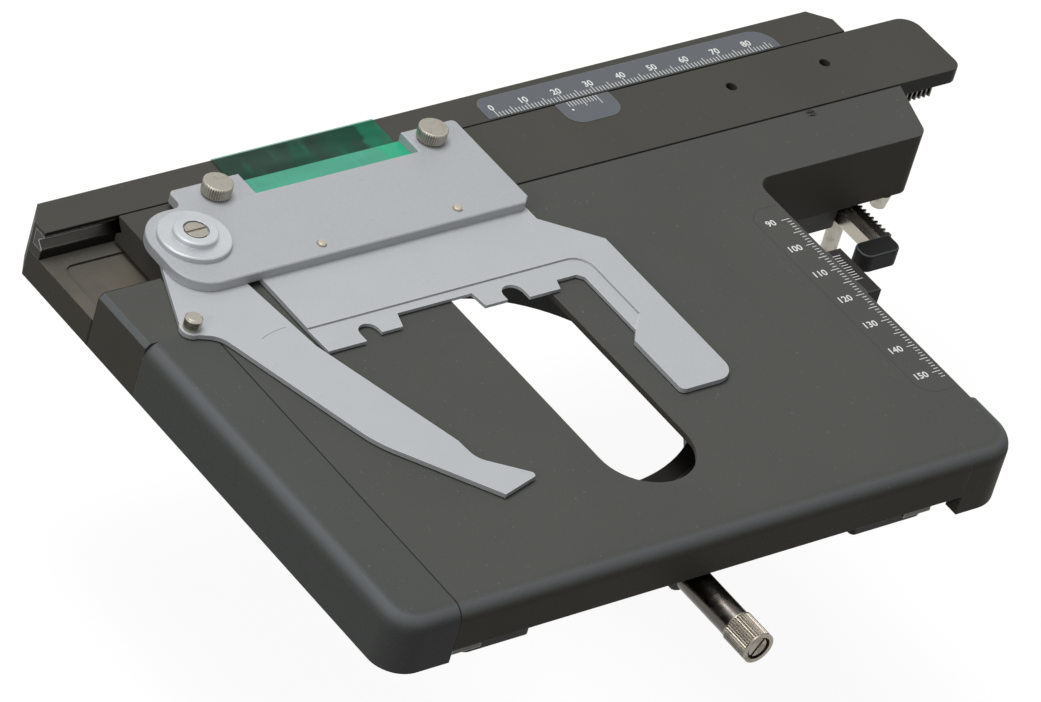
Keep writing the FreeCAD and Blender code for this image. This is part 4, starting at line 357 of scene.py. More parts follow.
@dataclass(frozen=True)
class Paint(Finish):
    """Fine baked paint with a matte grain, rubbed a little along its edges, with a painted
    highlight on its fillets and, given a wall colour, painted shade on its walls.
    """

    colour: Colour
    rubbed: Colour
    roughness: float = 0.62
    grain_mm: float = 0.24
    grain_depth_mm: float = 0.012
    speckle: float = 0.8
    patch_mm: float = 45.0
    edge_mm: float = 0.5
    specular: float = 0.12
    seams: tuple[Seam, ...] = ()
    oiled_below_mm: float = -100.0
    oil: Colour = shade(112, 104, 92)
    # Colour of the painted highlight on the rounded fillets between the top and the walls.
    sheen: Colour = shade(110, 114, 117)
    # Colour for upright faces: painted shade, a darker and browner copy of the paint for the
    # walls.
    side: Colour | None = None

    def wire(self, wiring: Wiring) -> bpy.types.NodeSocket:
        """Build the paint's nodes and give its shader."""
        place = wiring.place()
        upward = wiring.facing_up()
        grain = wiring.noise(place, self.grain_mm, 2.0)
        patches = wiring.noise(place, self.patch_mm, 3.0)
        dust = wiring.noise(place, 1.1, 1.0).within(0.72, 0.8)
        rub = wiring.edge(self.edge_mm) * wiring.noise(place, 3.0, 4.0).within(0.35, 0.7)
        tone = 1 + (grain - 0.5) * self.speckle + (patches - 0.5) * 0.35 + dust * 0.5
        colour = wiring.tint(self.colour, tone)
        # Painted shade: upright faces take the darker wall colour, level faces keep the top
        # colour.
        if self.side:
            level = upward.within(0.1, 0.5)
            colour = wiring.mix(level, wiring.tint(self.side, tone), colour)
        colour = wiring.mix(rub, colour, self.rubbed)
        # Painted highlight: faces that slope between level and upright, the fillets, are lightened
        # toward the highlight colour.
        rounded = upward.within(0.35, 0.75) * (1 - upward.within(0.9, 0.995))
        colour = wiring.mix(rounded * 0.6, colour, self.sheen)
        height = wiring.along(place, (0.0, 0.0, 1.0))
        pocket = (height < self.oiled_below_mm) * upward.within(0.9, 0.97)
        oiled = pocket * wiring.noise(place, 12.0, 3.0).within(0.25, 0.6)
        colour = wiring.mix(oiled * 0.7, colour, self.oil)
        for seam in self.seams:
            joint = seam.mask(wiring, place) * (1 - pocket) * 0.85
            colour = wiring.mix(joint, colour, shade(14, 14, 13))
        gloss = self.roughness + (patches - 0.5) * 0.18 + (grain - 0.5) * 0.2 - rub * 0.2
        gloss = gloss - oiled * 0.3
        return wiring.surface(
            {
                "Base Color": colour,
                "Roughness": gloss,
                "Specular IOR Level": self.specular,
                "Normal": wiring.bump(grain, self.grain_depth_mm, 0.35),
            }
        )


class Brush(Enum):
    """Which way a brushed or ground face was worked."""

    ALONG_X = (40.0, 1.0, 1.0)
    ALONG_Y = (1.0, 40.0, 1.0)
    BLASTED = (1.0, 1.0, 1.0)


@dataclass(frozen=True)
class WorkedMetal(Finish):
    """Bare or anodised metal with brush marks and stains, and a colour painted along its sharp
    edges as light and shade.
    """

    colour: Colour
    # Colour painted along sharp edges: a bright one gives a painted highlight, a dark one a
    # painted shade ring.
    bright: Colour
    brush: Brush = Brush.BLASTED
    roughness: float = 0.42
    metallic: float = 1.0
    mark_mm: float = 0.12
    mark_depth_mm: float = 0.003
    mark_tone: float = 0.25
    stain_tone: float = 0.18

    def wire(self, wiring: Wiring) -> bpy.types.NodeSocket:
        """Build the metal's nodes and give its shader."""
        place = wiring.place()
        marks = wiring.noise(place, self.mark_mm, 3.0, self.brush.value)
        stains = wiring.noise(place, 9.0, 4.0)
        scratch = wiring.noise(place, 0.5, 2.0, (9.0, 2.0, 1.0)).within(0.7, 0.76)
        edge_lighting = wiring.edge(0.35)
        tone = 1 + (marks - 0.5) * self.mark_tone + (stains - 0.5) * self.stain_tone
        # Painted highlight along sharp edges: the colour is mixed toward the edge colour there.
        colour = wiring.mix(
            edge_lighting * 0.75, wiring.tint(self.colour, tone - scratch * 0.08), self.bright
        )
        gloss = self.roughness + (marks - 0.5) * 0.25 + (stains - 0.5) * 0.22
        return wiring.surface(
            {
                "Base Color": colour,
                "Metallic": self.metallic,
                "Roughness": gloss - edge_lighting * 0.12,
                "Normal": wiring.bump(marks - scratch * 0.5, self.mark_depth_mm, 0.12),
            }
        )


class Turned(Enum):
    """Which axis a lathe-turned piece turns about."""

    ABOUT_Y = (1.0, 0.0, 1.0)
    ABOUT_Z = (1.0, 1.0, 0.0)


@dataclass(frozen=True)
class LatheMetal(Finish):
    """Plated metal with the fine rings that a lathe leaves, and a painted highlight along its
    edges.
    """

    colour: Colour
    grime: Colour
    centre_mm: tuple[float, float, float]
    axis: Turned = Turned.ABOUT_Z
    roughness: float = 0.3
    metallic: float = 1.0
    ring_mm: float = 0.25
    dirt_share: float = 0.4

    def wire(self, wiring: Wiring) -> bpy.types.NodeSocket:
        """Build the turned metal's nodes and give its shader."""
        place = wiring.place()
        centre = tuple(part * MM for part in self.centre_mm)
        offset = wiring.vector("SUBTRACT", place, centre).outputs[0]
        flat = wiring.vector("MULTIPLY", offset, self.axis.value).outputs[0]
        upright = tuple(1.0 - part for part in self.axis.value)
        height = wiring.vector("DOT_PRODUCT", offset, upright).outputs["Value"]
        radius = wiring.vector("LENGTH", flat).outputs["Value"]
        rings = wiring.streaks(Signal(wiring, radius), self.ring_mm)
        bands = wiring.streaks(Signal(wiring, height), self.ring_mm)
        stains = wiring.noise(place, 2.2, 4.0)
        edge_lighting = wiring.edge(0.3)
        # Painted highlight: tone is raised along sharp edges.
        tone = 1 + (rings - 0.5) * 0.5 + (bands - 0.5) * 0.25 + edge_lighting * 0.3
        dirt = stains.within(0.5, 0.75) * (1 - edge_lighting) * self.dirt_share
        colour = wiring.mix(dirt, wiring.tint(self.colour, tone), self.grime)
        return wiring.surface(
            {
                "Base Color": colour,
                "Metallic": self.metallic,
                "Roughness": self.roughness + (stains - 0.5) * 0.3 + dirt * 0.3,
                "Normal": wiring.bump(rings + bands, 0.006, 0.1),
            }
        )


@dataclass(frozen=True)
class Film(Finish):
    """Thin tinted film: backed and bright over the slide, clear over the rail."""

    clear_tint: Colour
    backed_colour: Colour
    double_colour: Colour
    veil_colour: Colour
    backed_to_y: float
    double_from_x: float
    clear_share: float = 0.14
    backed_share: float = 0.8

    def wire(self, wiring: Wiring) -> bpy.types.NodeSocket:
        """Build the film's nodes and give its shader."""
        place = wiring.place()
        ripple = wiring.noise(place, 7.0, 2.0, (4.0, 1.0, 1.0))
        folds = wiring.noise(place, 2.5, 1.0, (1.0, 6.0, 1.0)).within(0.6, 0.7)
        depth = wiring.along(place, (0.0, 1.0, 0.0))
        across = wiring.along(place, (1.0, 0.0, 0.0)) + (ripple - 0.5) * 6.0
        backed = 1 - depth.within(self.backed_to_y - 0.2, self.backed_to_y + 0.2)
        double = across.within(self.double_from_x - 0.4, self.double_from_x + 0.4)
        body = wiring.mix(double, self.backed_colour, self.double_colour)
        body = wiring.mix((ripple - 0.5) * 0.5, body, self.double_colour)
        patch = wiring.noise(place, 9.0, 2.0, (1.0, 2.0, 1.0)).within(0.5, 0.62)
        green = patch * 0.5 + double * 0.6 + folds * 0.3
        veil = wiring.mix(green, self.veil_colour, self.double_colour)
        body = wiring.mix(backed, veil, body)
        gloss = wiring.surface(
            {
                "Base Color": body,
                "Roughness": 0.12 + ripple * 0.12,
                "IOR": 1.4,
                "Normal": wiring.bump(ripple, 0.25, 0.1),
            }
        )
        clear = wiring.add("ShaderNodeBsdfTransparent", {}, {"Color": self.clear_tint})
        share = self.clear_share + backed * (self.backed_share - self.clear_share)
        share = share + folds * 0.06 + double * 0.12 + (ripple - 0.5) * 0.35
        return wiring.add(
            "ShaderNodeMixShader", {}, {0: share, 1: clear.outputs[0], 2: gloss}
        ).outputs[0]


@dataclass(frozen=True)
class Ink(Finish):
    """The filling of numbers and lines, a little uneven."""

    colour: Colour
    faded: Colour

    def wire(self, wiring: Wiring) -> bpy.types.NodeSocket:
        """Build the ink's nodes and give its shader."""
        place = wiring.place()
        fade = wiring.noise(place, 0.6, 3.0).within(0.45, 0.75)
        return wiring.surface(
            {
                "Base Color": wiring.mix(fade * 0.6, self.colour, self.faded),
                "Roughness": 0.55 + fade * 0.15,
                "Specular IOR Level": 0.3,
            }
        )


@dataclass(frozen=True)
class PaleFloor(Finish):
    """White studio floor that keeps a light shadow."""

    glow: float = 0.93
    shadow_share: float = 0.13
    bounce: float = 0.16

    def wire(self, wiring: Wiring) -> bpy.types.NodeSocket:
        """Build the floor's nodes and give its shader."""
        fibre = wiring.noise(wiring.place(), 30.0, 3.0)
        grey = (self.shadow_share,) * 3 + (1.0,)
        paper = wiring.add(
            "ShaderNodeBsdfDiffuse",
            {},
            {"Color": wiring.tint(grey, 0.99 + (fibre - 0.5) * 0.02)},
        )
        glow = wiring.add("ShaderNodeEmission", {}, {"Strength": self.glow})
        shown = wiring.add(
            "ShaderNodeAddShader", {}, {0: paper.outputs[0], 1: glow.outputs[0]}
        )
        dull = wiring.add(
            "ShaderNodeBsdfDiffuse", {}, {"Color": (self.bounce,) * 3 + (1.0,)}
        )
        shaders = {0: wiring.seen(), 1: dull.outputs[0], 2: shown.outputs[0]}
        return wiring.add("ShaderNodeMixShader", {}, shaders).outputs[0]


FRONT_GAP = Seam((0.0, 1.0, 0.0), 48.15, 0.9)
REAR_GAP = Seam((0.0, 1.0, 0.0), 70.85, 0.7)
COVER_JOINT = Seam((1.0, 0.0, 0.0), -75.3)

STAGE_PAINT = Paint(
    "stage_paint",
    shade(84, 85, 81),
    shade(108, 109, 105),
    seams=(COVER_JOINT, FRONT_GAP),
    oiled_below_mm=20.5,
    # Painted shade on this paint's walls.
    side=shade(72, 69, 62),
)
COVER_PAINT = Paint(
    "cover_paint", shade(81, 83, 81), shade(112, 115, 118), seams=(COVER_JOINT,)
)
SLIDE_PAINT = Paint(
    "slide_paint",
    shade(76, 75, 70),
    shade(100, 98, 94),
    roughness=0.55,
    seams=(FRONT_GAP, REAR_GAP),
)
BASE_PAINT = Paint(
    "base_paint", shade(34, 32, 30), shade(66, 64, 60), roughness=0.5, specular=0.2
)
CAP_BLACK = Paint(
    "cap_black", shade(24, 24, 24), shade(60, 60, 60), roughness=0.5, grain_mm=0.3
)
INDEX_BLACK = Paint(
    "index_black", shade(42, 40, 38), shade(88, 86, 82), roughness=0.5, edge_mm=0.25
)
HOLDER_SATIN = WorkedMetal(
    "holder_satin",
    shade(178, 181, 184),
    shade(222, 224, 226),
    roughness=0.54,
    metallic=0.15,
    mark_mm=0.3,
    mark_tone=0.3,
    stain_tone=0.05,
)
FINGER_SATIN = WorkedMetal(
    "finger_satin",
    shade(187, 190, 193),
    shade(226, 228, 230),
    roughness=0.52,
    metallic=0.15,
    mark_mm=0.25,
    mark_tone=0.26,
    stain_tone=0.05,
)
# Rivets: their edge colour is dark, a painted shade ring round each rivet.
RIVET_SATIN = WorkedMetal(
    "rivet_satin",
    shade(192, 183, 164),
    shade(78, 76, 70),
    roughness=0.45,
    metallic=0.4,
    stain_tone=0.05,
)
GROUND_WAY = WorkedMetal(
    "ground_way", shade(74, 71, 67), shade(190, 188, 182), Brush.ALONG_Y, 0.32
)
GROUND_RAIL = WorkedMetal(
    "ground_rail", shade(66, 64, 61), shade(206, 204, 198), Brush.ALONG_X, 0.32
)
PLATED_BAR = WorkedMetal(
    "plated_bar",
    shade(178, 172, 160),
    shade(206, 202, 192),
    Brush.ALONG_Y,
    0.3,
    mark_tone=0.08,
    stain_tone=0.08,
)
DARK_SPINDLE = LatheMetal(
    "dark_spindle",
    shade(92, 89, 84),
    shade(40, 38, 35),
    (0.0, 0.0, 5.8),
    Turned.ABOUT_Y,
    0.24,
    dirt_share=0.12,
)
BLACK_SCREW = WorkedMetal(
    "black_screw", shade(52, 50, 48), shade(120, 118, 112), roughness=0.35, mark_mm=0.2
)
SCALE_GREY = WorkedMetal(
    "scale_grey",
    shade(92, 97, 102),
    shade(142, 148, 154),
    Brush.ALONG_X,
    0.5,
    metallic=0.3,
    mark_tone=0.12,
    stain_tone=0.08,
)
GIB_BRASS = WorkedMetal(
    "gib_brass", shade(190, 160, 96), shade(226, 204, 150), Brush.ALONG_X, 0.32
)
CAGE_BRASS = WorkedMetal(
    "cage_brass", shade(190, 160, 96), shade(226, 204, 150), Brush.ALONG_Y, 0.35
)
ROLLER_STEEL = WorkedMetal(
    "roller_steel", shade(190, 190, 188), shade(228, 228, 226), roughness=0.2
)
KNOB_BLACK = Paint(
    "knob_black", shade(30, 30, 31), shade(78, 78, 78), roughness=0.42, specular=0.3
)
WHITE_INK = Ink("white_ink", shade(240, 241, 238), shade(206, 208, 206))
DARK_INK = Ink("dark_ink", shade(52, 53, 51), shade(70, 71, 68))
# Ink for the real scribe mark on the lever and for the painted shade line at the foot of the
# ledge.
SCRIBE_AND_SHADE_INK = Ink("scribe_and_shade_line", shade(128, 131, 134), shade(150, 153, 156))
GREEN_FILM = Film(
    "green_film",
    shade(200, 224, 216),
    shade(84, 186, 155),
    shade(48, 184, 142),
    shade(104, 132, 122),
    backed_to_y=70.7,
    double_from_x=2.5,
)
WHITE_FLOOR = PaleFloor("white_floor")


def nickel(name: str, centre_mm: tuple[float, float, float], axis: Turned) -> LatheMetal:
    """Give dull nickel plate for a piece that was turned about one line.

    Args:
        name: What the finish is called.
        centre_mm: A point on the piece's axis.
        axis: Which way the axis runs.

    Returns:
        The finish.
    """
    return LatheMetal(name, shade(172, 167, 156), shade(104, 97, 86), centre_mm, axis)


def settle(name: str, mesh: bpy.types.Mesh, finish: Finish, body: str) -> bpy.types.Object:
    """Make a finished mesh a piece that rides on a body.

    Args:
        name: The piece's name.
        mesh: Its mesh, in place.
        finish: What it is made of.
        body: The body that carries it.

    Returns:
        The piece.
    """
    mesh.name = name
    mesh.materials.clear()
    mesh.materials.append(finish.material())
    piece = bpy.data.objects.new(name, mesh)
    bpy.context.scene.collection.objects.link(piece)
    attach(piece, body)
    LOG.info("made %s on %s with %d faces", name, body, len(mesh.polygons))
    return piece


def arc(
    middle: tuple[float, float], radius: float, start: float, sweep: float, steps: int = 8
) -> list[tuple[float, float]]:
    """Give points along part of a circle.

    Args:
        middle: The circle's centre, in millimetres.
        radius: Its radius.
        start: The first point's angle from +Y towards +X, in radians.
        sweep: How far the arc turns from there.
        steps: How many equal steps it is cut into.

    Returns:
        The points.
    """
    x, y = middle
    turns = [start + sweep * step / steps for step in range(steps + 1)]
    return [(x + radius * math.sin(turn), y + radius * math.cos(turn)) for turn in turns]


@dataclass(frozen=True)
class Ticks:
    """The sizes of one row of graduation ticks, in millimetres."""

    count: int
    pitch: float
    width: float
    short: float
    long: float
    first: float
    last: float
    every: int = 5
    phase: int = 0


class TickTree:
    """Geometry Nodes that lay out a row of ticks along X, rising along Y."""

    def __init__(self, finish: Finish, depth_mm: float) -> None:
        """Build the tree.

        Args:
            finish: What the ticks are filled with.
            depth_mm: How thick the filling is.
        """
        self.finish = finish
        self.depth_mm = depth_mm
        self.tree = bpy.data.node_groups.new("tick_row", "GeometryNodeTree")
        self.keys: dict[str, str] = {}
        self._declare()
        self._lay_out()

    def _declare(self) -> None:
        face = self.tree.interface
        kinds = {
            "Count": "NodeSocketInt",
            "Pitch": "NodeSocketFloat",
            "Width": "NodeSocketFloat",
            "Depth": "NodeSocketFloat",
            "Short": "NodeSocketFloat",
            "Long": "NodeSocketFloat",
            "First": "NodeSocketFloat",
            "Last": "NodeSocketFloat",
            "Every": "NodeSocketInt",
            "Phase": "NodeSocketInt",
        }
        for name, kind in kinds.items():
            socket = face.new_socket(name=name, in_out="INPUT", socket_type=kind)
            self.keys[name] = socket.identifier
        face.new_socket(name="Geometry", in_out="OUTPUT", socket_type="NodeSocketGeometry")

    def _lay_out(self) -> None:
        """Add the nodes that make the row."""
        wiring = Wiring(self.tree)
        given = wiring.add("NodeGroupInput")
        ask = {name: Signal(wiring, given.outputs[name]) for name in self.keys}
        step = wiring.add("ShaderNodeCombineXYZ", {}, {"X": ask["Pitch"]})
        line = wiring.add(
            "GeometryNodeMeshLine",
            {"mode": "OFFSET"},
            {"Count": ask["Count"], "Offset": step.outputs[0]},
        )
        bar = wiring.add("GeometryNodeMeshCube", {}, {"Size": (1.0, 1.0, 1.0)})
        raised = wiring.add(
            "GeometryNodeTransform",
            {},
            {"Geometry": bar.outputs["Mesh"], "Translation": (0.0, 0.5, 0.0)},
        )
        index = Signal(wiring, wiring.add("GeometryNodeInputIndex").outputs[0])
        is_long = ((index + ask["Phase"]) % ask["Every"]) < 0.5
        is_first = index < 0.5
        is_last = index > (ask["Count"] - 1.5)
        length = ask["Short"] + is_long * (ask["Long"] - ask["Short"])
        length = length + is_first * (ask["First"] - length)
        length = length + is_last * (ask["Last"] - length)
        size = wiring.add(
            "ShaderNodeCombineXYZ", {}, {"X": ask["Width"], "Y": length, "Z": ask["Depth"]}
        )
        copies = wiring.add(
            "GeometryNodeInstanceOnPoints",
            {},
            {
                "Points": line.outputs["Mesh"],
                "Instance": raised.outputs["Geometry"],
                "Scale": size.outputs[0],
            },
        )
        real = wiring.add(
            "GeometryNodeRealizeInstances", {}, {"Geometry": copies.outputs["Instances"]}
        )
        filled = wiring.add(
            "GeometryNodeSetMaterial",
            {},
            {"Geometry": real.outputs["Geometry"], "Material": self.finish.material()},
        )
        wiring.add("NodeGroupOutput", {}, {"Geometry": filled.outputs["Geometry"]})

    def row(self, name: str, ticks: Ticks, place: Matrix, body: str) -> bpy.types.Object:
        """Make one row of ticks a plain mesh in its place.

        Args:
            name: The piece's name.
            ticks: The row's sizes.
            place: Where the row starts and which way it runs.
            body: The body that carries it.

        Returns:
            The piece.
        """
        carrier = bpy.data.objects.new("carrier", bpy.data.meshes.new("carrier"))
        bpy.context.scene.collection.objects.link(carrier)
        change = carrier.modifiers.new("ticks", "NODES")
        change.node_group = self.tree
        sizes = {
            "Count": ticks.count,
            "Pitch": ticks.pitch * MM,
            "Width": ticks.width * MM,
            "Depth": self.depth_mm * MM,
            "Short": ticks.short * MM,
            "Long": ticks.long * MM,
            "First": ticks.first * MM,
            "Last": ticks.last * MM,
            "Every": ticks.every,
            "Phase": ticks.phase,
        }
        for key, value in sizes.items():
            change[self.keys[key]] = value
        graph = bpy.context.evaluated_depsgraph_get()
        mesh = bpy.data.meshes.new_from_object(carrier.evaluated_get(graph))
        bpy.data.objects.remove(carrier)
        mesh.transform(place)
        return settle(name, mesh, self.finish, body)


@dataclass(frozen=True)
class Lettering:
    """Plain numbers, lines and dots laid on a flat face."""

    finish: Finish
    depth_mm: float
    height_mm: float = 2.0

    drawn_depth: ClassVar[float] = 0.02
    boldness: ClassVar[float] = 0.02

    def _keep(self, name: str, shape: bmesh.types.BMesh, body: str) -> bpy.types.Object:
        """Make a finished shape a piece that rides on a body, and free it."""
        mesh = bpy.data.meshes.new(name)
        shape.to_mesh(mesh)
        shape.free()
        return settle(name, mesh, self.finish, body)

    def numbers(
        self, name: str, spots: dict[str, tuple[float, float, float]], body: str
    ) -> bpy.types.Object:
        """Make a set of numbers, each centred on its spot.

        Args:
            name: The piece's name.
            spots: Where each number goes, in millimetres.
            body: The body that carries them.

        Returns:
            The piece.
        """
        shapes = bmesh.new()
        for words, spot in spots.items():
            curve = bpy.data.curves.new("numeral", "FONT")
            curve.body = words
            curve.extrude = self.drawn_depth / 2
            curve.resolution_u = 3
            curve.offset = self.boldness
            holder = bpy.data.objects.new("numeral", curve)
            mesh = bpy.data.meshes.new_from_object(holder)
            xs = [vertex.co.x for vertex in mesh.vertices]
            ys = [vertex.co.y for vertex in mesh.vertices]
            scale = self.height_mm * MM / (max(ys) - min(ys))
            middle = Vector((-(max(xs) + min(xs)) / 2, -(max(ys) + min(ys)) / 2, 0.0))
            thin = self.depth_mm * MM / self.drawn_depth
            mesh.transform(Matrix.Translation(middle))
            mesh.transform(Matrix.Diagonal((scale, scale, thin, 1.0)))
            mesh.transform(Matrix.Translation(Vector(spot) * MM))
            shapes.from_mesh(mesh)
            bpy.data.objects.remove(holder)
            bpy.data.meshes.remove(mesh)
            bpy.data.curves.remove(curve)
        bmesh.ops.remove_doubles(shapes, verts=shapes.verts, dist=1e-6)
        bmesh.ops.recalc_face_normals(shapes, faces=shapes.faces)
        return self._keep(name, shapes, body)

    def line(
        self, name: str, path: list[tuple[float, float]], level: float, width: float, body: str
    ) -> bpy.types.Object:
        """Make a thin flat line along a path.

        Args:
            name: The piece's name.
            path: The line's corners, in millimetres.
            level: The height of the face that it lies on.
            width: The line's width.
            body: The body that carries it.

        Returns:
            The piece.
        """
        points = [Vector((x, y, 0.0)) for x, y in path]
        shape = bmesh.new()
        rings = []
        for number, point in enumerate(points):
            before = points[max(number - 1, 0)]
            after = points[min(number + 1, len(points) - 1)]
            way = (after - before).normalized()
            side = Vector((-way.y, way.x, 0.0)) * width / 2
            ring = []
            for across, height in ((1, -1), (-1, -1), (-1, 1), (1, 1)):
                spot = point + side * across
                spot.z = level + height * self.depth_mm / 2
                ring.append(shape.verts.new(spot * MM))
            rings.append(ring)
        for first, second in zip(rings, rings[1:]):
            for turn in range(4):
                beyond = (turn + 1) % 4
                shape.faces.new((first[turn], first[beyond], second[beyond], second[turn]))
        shape.faces.new(rings[0])
        shape.faces.new(list(reversed(rings[-1])))
        bmesh.ops.recalc_face_normals(shape, faces=shape.faces)
        return self._keep(name, shape, body)

    def dot(
        self, name: str, spot: tuple[float, float, float], radius: float, body: str
    ) -> bpy.types.Object:
        """Make a small round dot.

        Args:
            name: The piece's name.
            spot: Its centre, in millimetres.
            radius: Its radius.
            body: The body that carries it.

        Returns:
            The piece.
        """
        shape = bmesh.new()
        bmesh.ops.create_cone(
            shape,
            cap_ends=True,
            segments=20,
            radius1=radius * MM,
            radius2=radius * MM,
            depth=self.depth_mm * MM,
            matrix=Matrix.Translation(Vector(spot) * MM),
        )
        return self._keep(name, shape, body)


class SubAssembly:
    """A group of the stage's pieces, with the finish that each one has."""

    def finishes(self) -> dict[str, Finish]:
        """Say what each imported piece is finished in."""
        raise NotImplementedError

    def dress(self, nodes: dict[str, bpy.types.Object]) -> None:
        """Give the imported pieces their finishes.

        Args:
            nodes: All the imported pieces, by name.
        """
        for name, finish in self.finishes().items():
            piece = nodes[name]
            if not piece.material_slots:
                piece.data.materials.append(finish.material())
            for place in piece.material_slots:
                place.material = finish.material()
            LOG.info("dressed %s in %s", name, finish.name)

    def build(self) -> None:
        """Make the pieces that this group adds, if it has any."""


@dataclass
class Base(SubAssembly):
    """The base that stays still on the stand, with its guides and index block."""

    index_top: float = 23.8
    index_first_y: float = -1.5
    index_left: float = 89.55
    index_ticks: Ticks = Ticks(11, 0.9, 0.2, 2.0, 2.35, 2.35, 2.35)
    ink_depth: float = 0.03

    def finishes(self) -> dict[str, Finish]:
        """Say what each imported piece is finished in."""
        return {
            "base_plate": BASE_PAINT,
            "y_way_fixed_left": GROUND_WAY,
            "y_way_fixed_right": GROUND_WAY,
            "y_way_fixed_screws": BLACK_SCREW,
            "y_guide_bar": PLATED_BAR,
            "y_guide_bar_screws": BLACK_SCREW,
            "y_rack": GROUND_WAY,
            "guide_end_cap": CAP_BLACK,
            "y_vernier_block": INDEX_BLACK,
            "y_vernier_screws": BLACK_SCREW,
        }

    def build(self) -> None:
        """Engrave the index ticks on the block beside the front-to-back scale."""
        start = Vector((self.index_left, self.index_first_y, self.index_top)) * MM
        place = Matrix.Translation(start) @ Matrix.Rotation(-math.pi / 2, 4, "Z")
        TickTree(WHITE_INK, self.ink_depth).row("y_vernier_ticks", self.index_ticks, place, "base")


@dataclass
class Stage(SubAssembly):
    """The casting that moves front to back, with its covers, rail and scales."""

    face: float = 24.0
    plate_face: float = 24.1
    ink_depth: float = 0.03
    digit_height: float = 2.1
    cross_zero_x: float = 41.2
    cross_edge_y: float = 71.55
    cross_digits_y: float = 75.1
    cross_ticks: Ticks = Ticks(87, 1.0, 0.2, 1.6, 2.45, 2.45, 1.6)
    front_end_x: float = 88.2
    front_zero_y: float = 14.3
    front_first: int = 90
    front_last: int = 152
    front_digits_x: float = 82.4
    outline_left: float = 78.6
    outline_right: float = 88.4
    outline_back: float = 19.7
    outline_front: float = -52.0
    outline_corner: float = 5.0
    outline_width: float = 0.14
    bearing_screw: tuple[float, float, float] = (137.5, 41.0, 0.0)

    def finishes(self) -> dict[str, Finish]:
        """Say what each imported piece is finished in."""
        return {
            "top_plate": STAGE_PAINT,
            "left_cover": COVER_PAINT,
            "right_cover": STAGE_PAINT,
            "left_cover_screws": BLACK_SCREW,
            "right_cover_screws": BLACK_SCREW,
            "rear_rail": SLIDE_PAINT,
            "rail_screws": BLACK_SCREW,
            "x_way_rear": GROUND_RAIL,
            "x_way_screws": BLACK_SCREW,
            "x_gib": GIB_BRASS,
            "x_gib_screws": GIB_BRASS,
            "x_scale_plate": SCALE_GREY,
            "y_way_moving_left": GROUND_WAY,
            "y_way_moving_right": GROUND_WAY,
            "y_way_moving_screws": BLACK_SCREW,
            "drive_bearing": FINGER_SATIN,
            "bearing_screw": nickel("bearing_nickel", self.bearing_screw, Turned.ABOUT_Z),
            "block_screw": BLACK_SCREW,
        }

    def build(self) -> None:
        """Engrave both stage scales."""
        tree = TickTree(WHITE_INK, self.ink_depth)
        lettering = Lettering(WHITE_INK, self.ink_depth, self.digit_height)
        start = Vector((self.cross_zero_x, self.cross_edge_y, self.plate_face)) * MM
        tree.row("x_scale_ticks", self.cross_ticks, Matrix.Translation(start), "y_stage")
        spots = {
            str(value): (self.cross_zero_x + value, self.cross_digits_y, self.plate_face)
            for value in range(0, 90, 10)
        }
        lettering.numbers("x_scale_numbers", spots, "y_stage")
        span = self.front_last - self.front_first
        ticks = Ticks(span + 1, 1.0, 0.2, 1.3, 2.5, 1.3, 2.5, phase=(-self.front_last) % 5)
        start = Vector((self.front_end_x, self.front_zero_y - span, self.face)) * MM
        turn = Matrix.Rotation(math.pi / 2, 4, "Z")
        tree.row("y_scale_ticks", ticks, Matrix.Translation(start) @ turn, "y_stage")
        spots = {
            str(value): (
                self.front_digits_x,
                self.front_zero_y - (value - self.front_first),
                self.face,
            )
            for value in range(self.front_first, self.front_last, 10)
        }
        lettering.numbers("y_scale_numbers", spots, "y_stage")
        outline = Lettering(DARK_INK, self.ink_depth)
        outline.line(
            "y_scale_outline", self._outline(), self.face, self.outline_width, "y_stage"
        )

    def _outline(self) -> list[tuple[float, float]]:
        """Give the line round the front-to-back scale, open at the stage's edge."""
        corner = self.outline_corner
        middle_x = self.outline_left + corner
        quarter = -math.pi / 2
        back = arc((middle_x, self.outline_back - corner), corner, 0.0, quarter)
        front = arc((middle_x, self.outline_front + corner), corner, quarter, quarter)
        start = (self.outline_right, self.outline_back)
        end = (self.outline_right, self.outline_front)
        return [start, *back, *front, end]


@dataclass
class CrossSlide(SubAssembly):
    """The bar that slides left and right, with its rack and index plate."""

    plate_face: float = 24.1
    ink_depth: float = 0.03
    index_right_x: float = 70.2
    index_back_y: float = 70.65
    index_ticks: Ticks = Ticks(11, 0.9, 0.2, 1.8, 2.8, 3.2, 1.8)
    dot_spot: tuple[float, float] = (61.1, 67.6)
    dot_radius: float = 0.35

    def finishes(self) -> dict[str, Finish]:
        """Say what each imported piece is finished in."""
        return {
            "slide_bar": SLIDE_PAINT,
            "x_rack": GROUND_RAIL,
            "x_rack_screws": BLACK_SCREW,
            "x_vernier_plate": SCALE_GREY,
        }

    def build(self) -> None:
        """Engrave the index ticks and the dot."""
        start = Vector((self.index_right_x, self.index_back_y, self.plate_face)) * MM
        place = Matrix.Translation(start) @ Matrix.Rotation(math.pi, 4, "Z")
        tree = TickTree(WHITE_INK, self.ink_depth)
        tree.row("x_vernier_ticks", self.index_ticks, place, "x_slide")
        lettering = Lettering(WHITE_INK, self.ink_depth)
        spot = (*self.dot_spot, self.plate_face)
        lettering.dot("x_vernier_dot", spot, self.dot_radius, "x_slide")


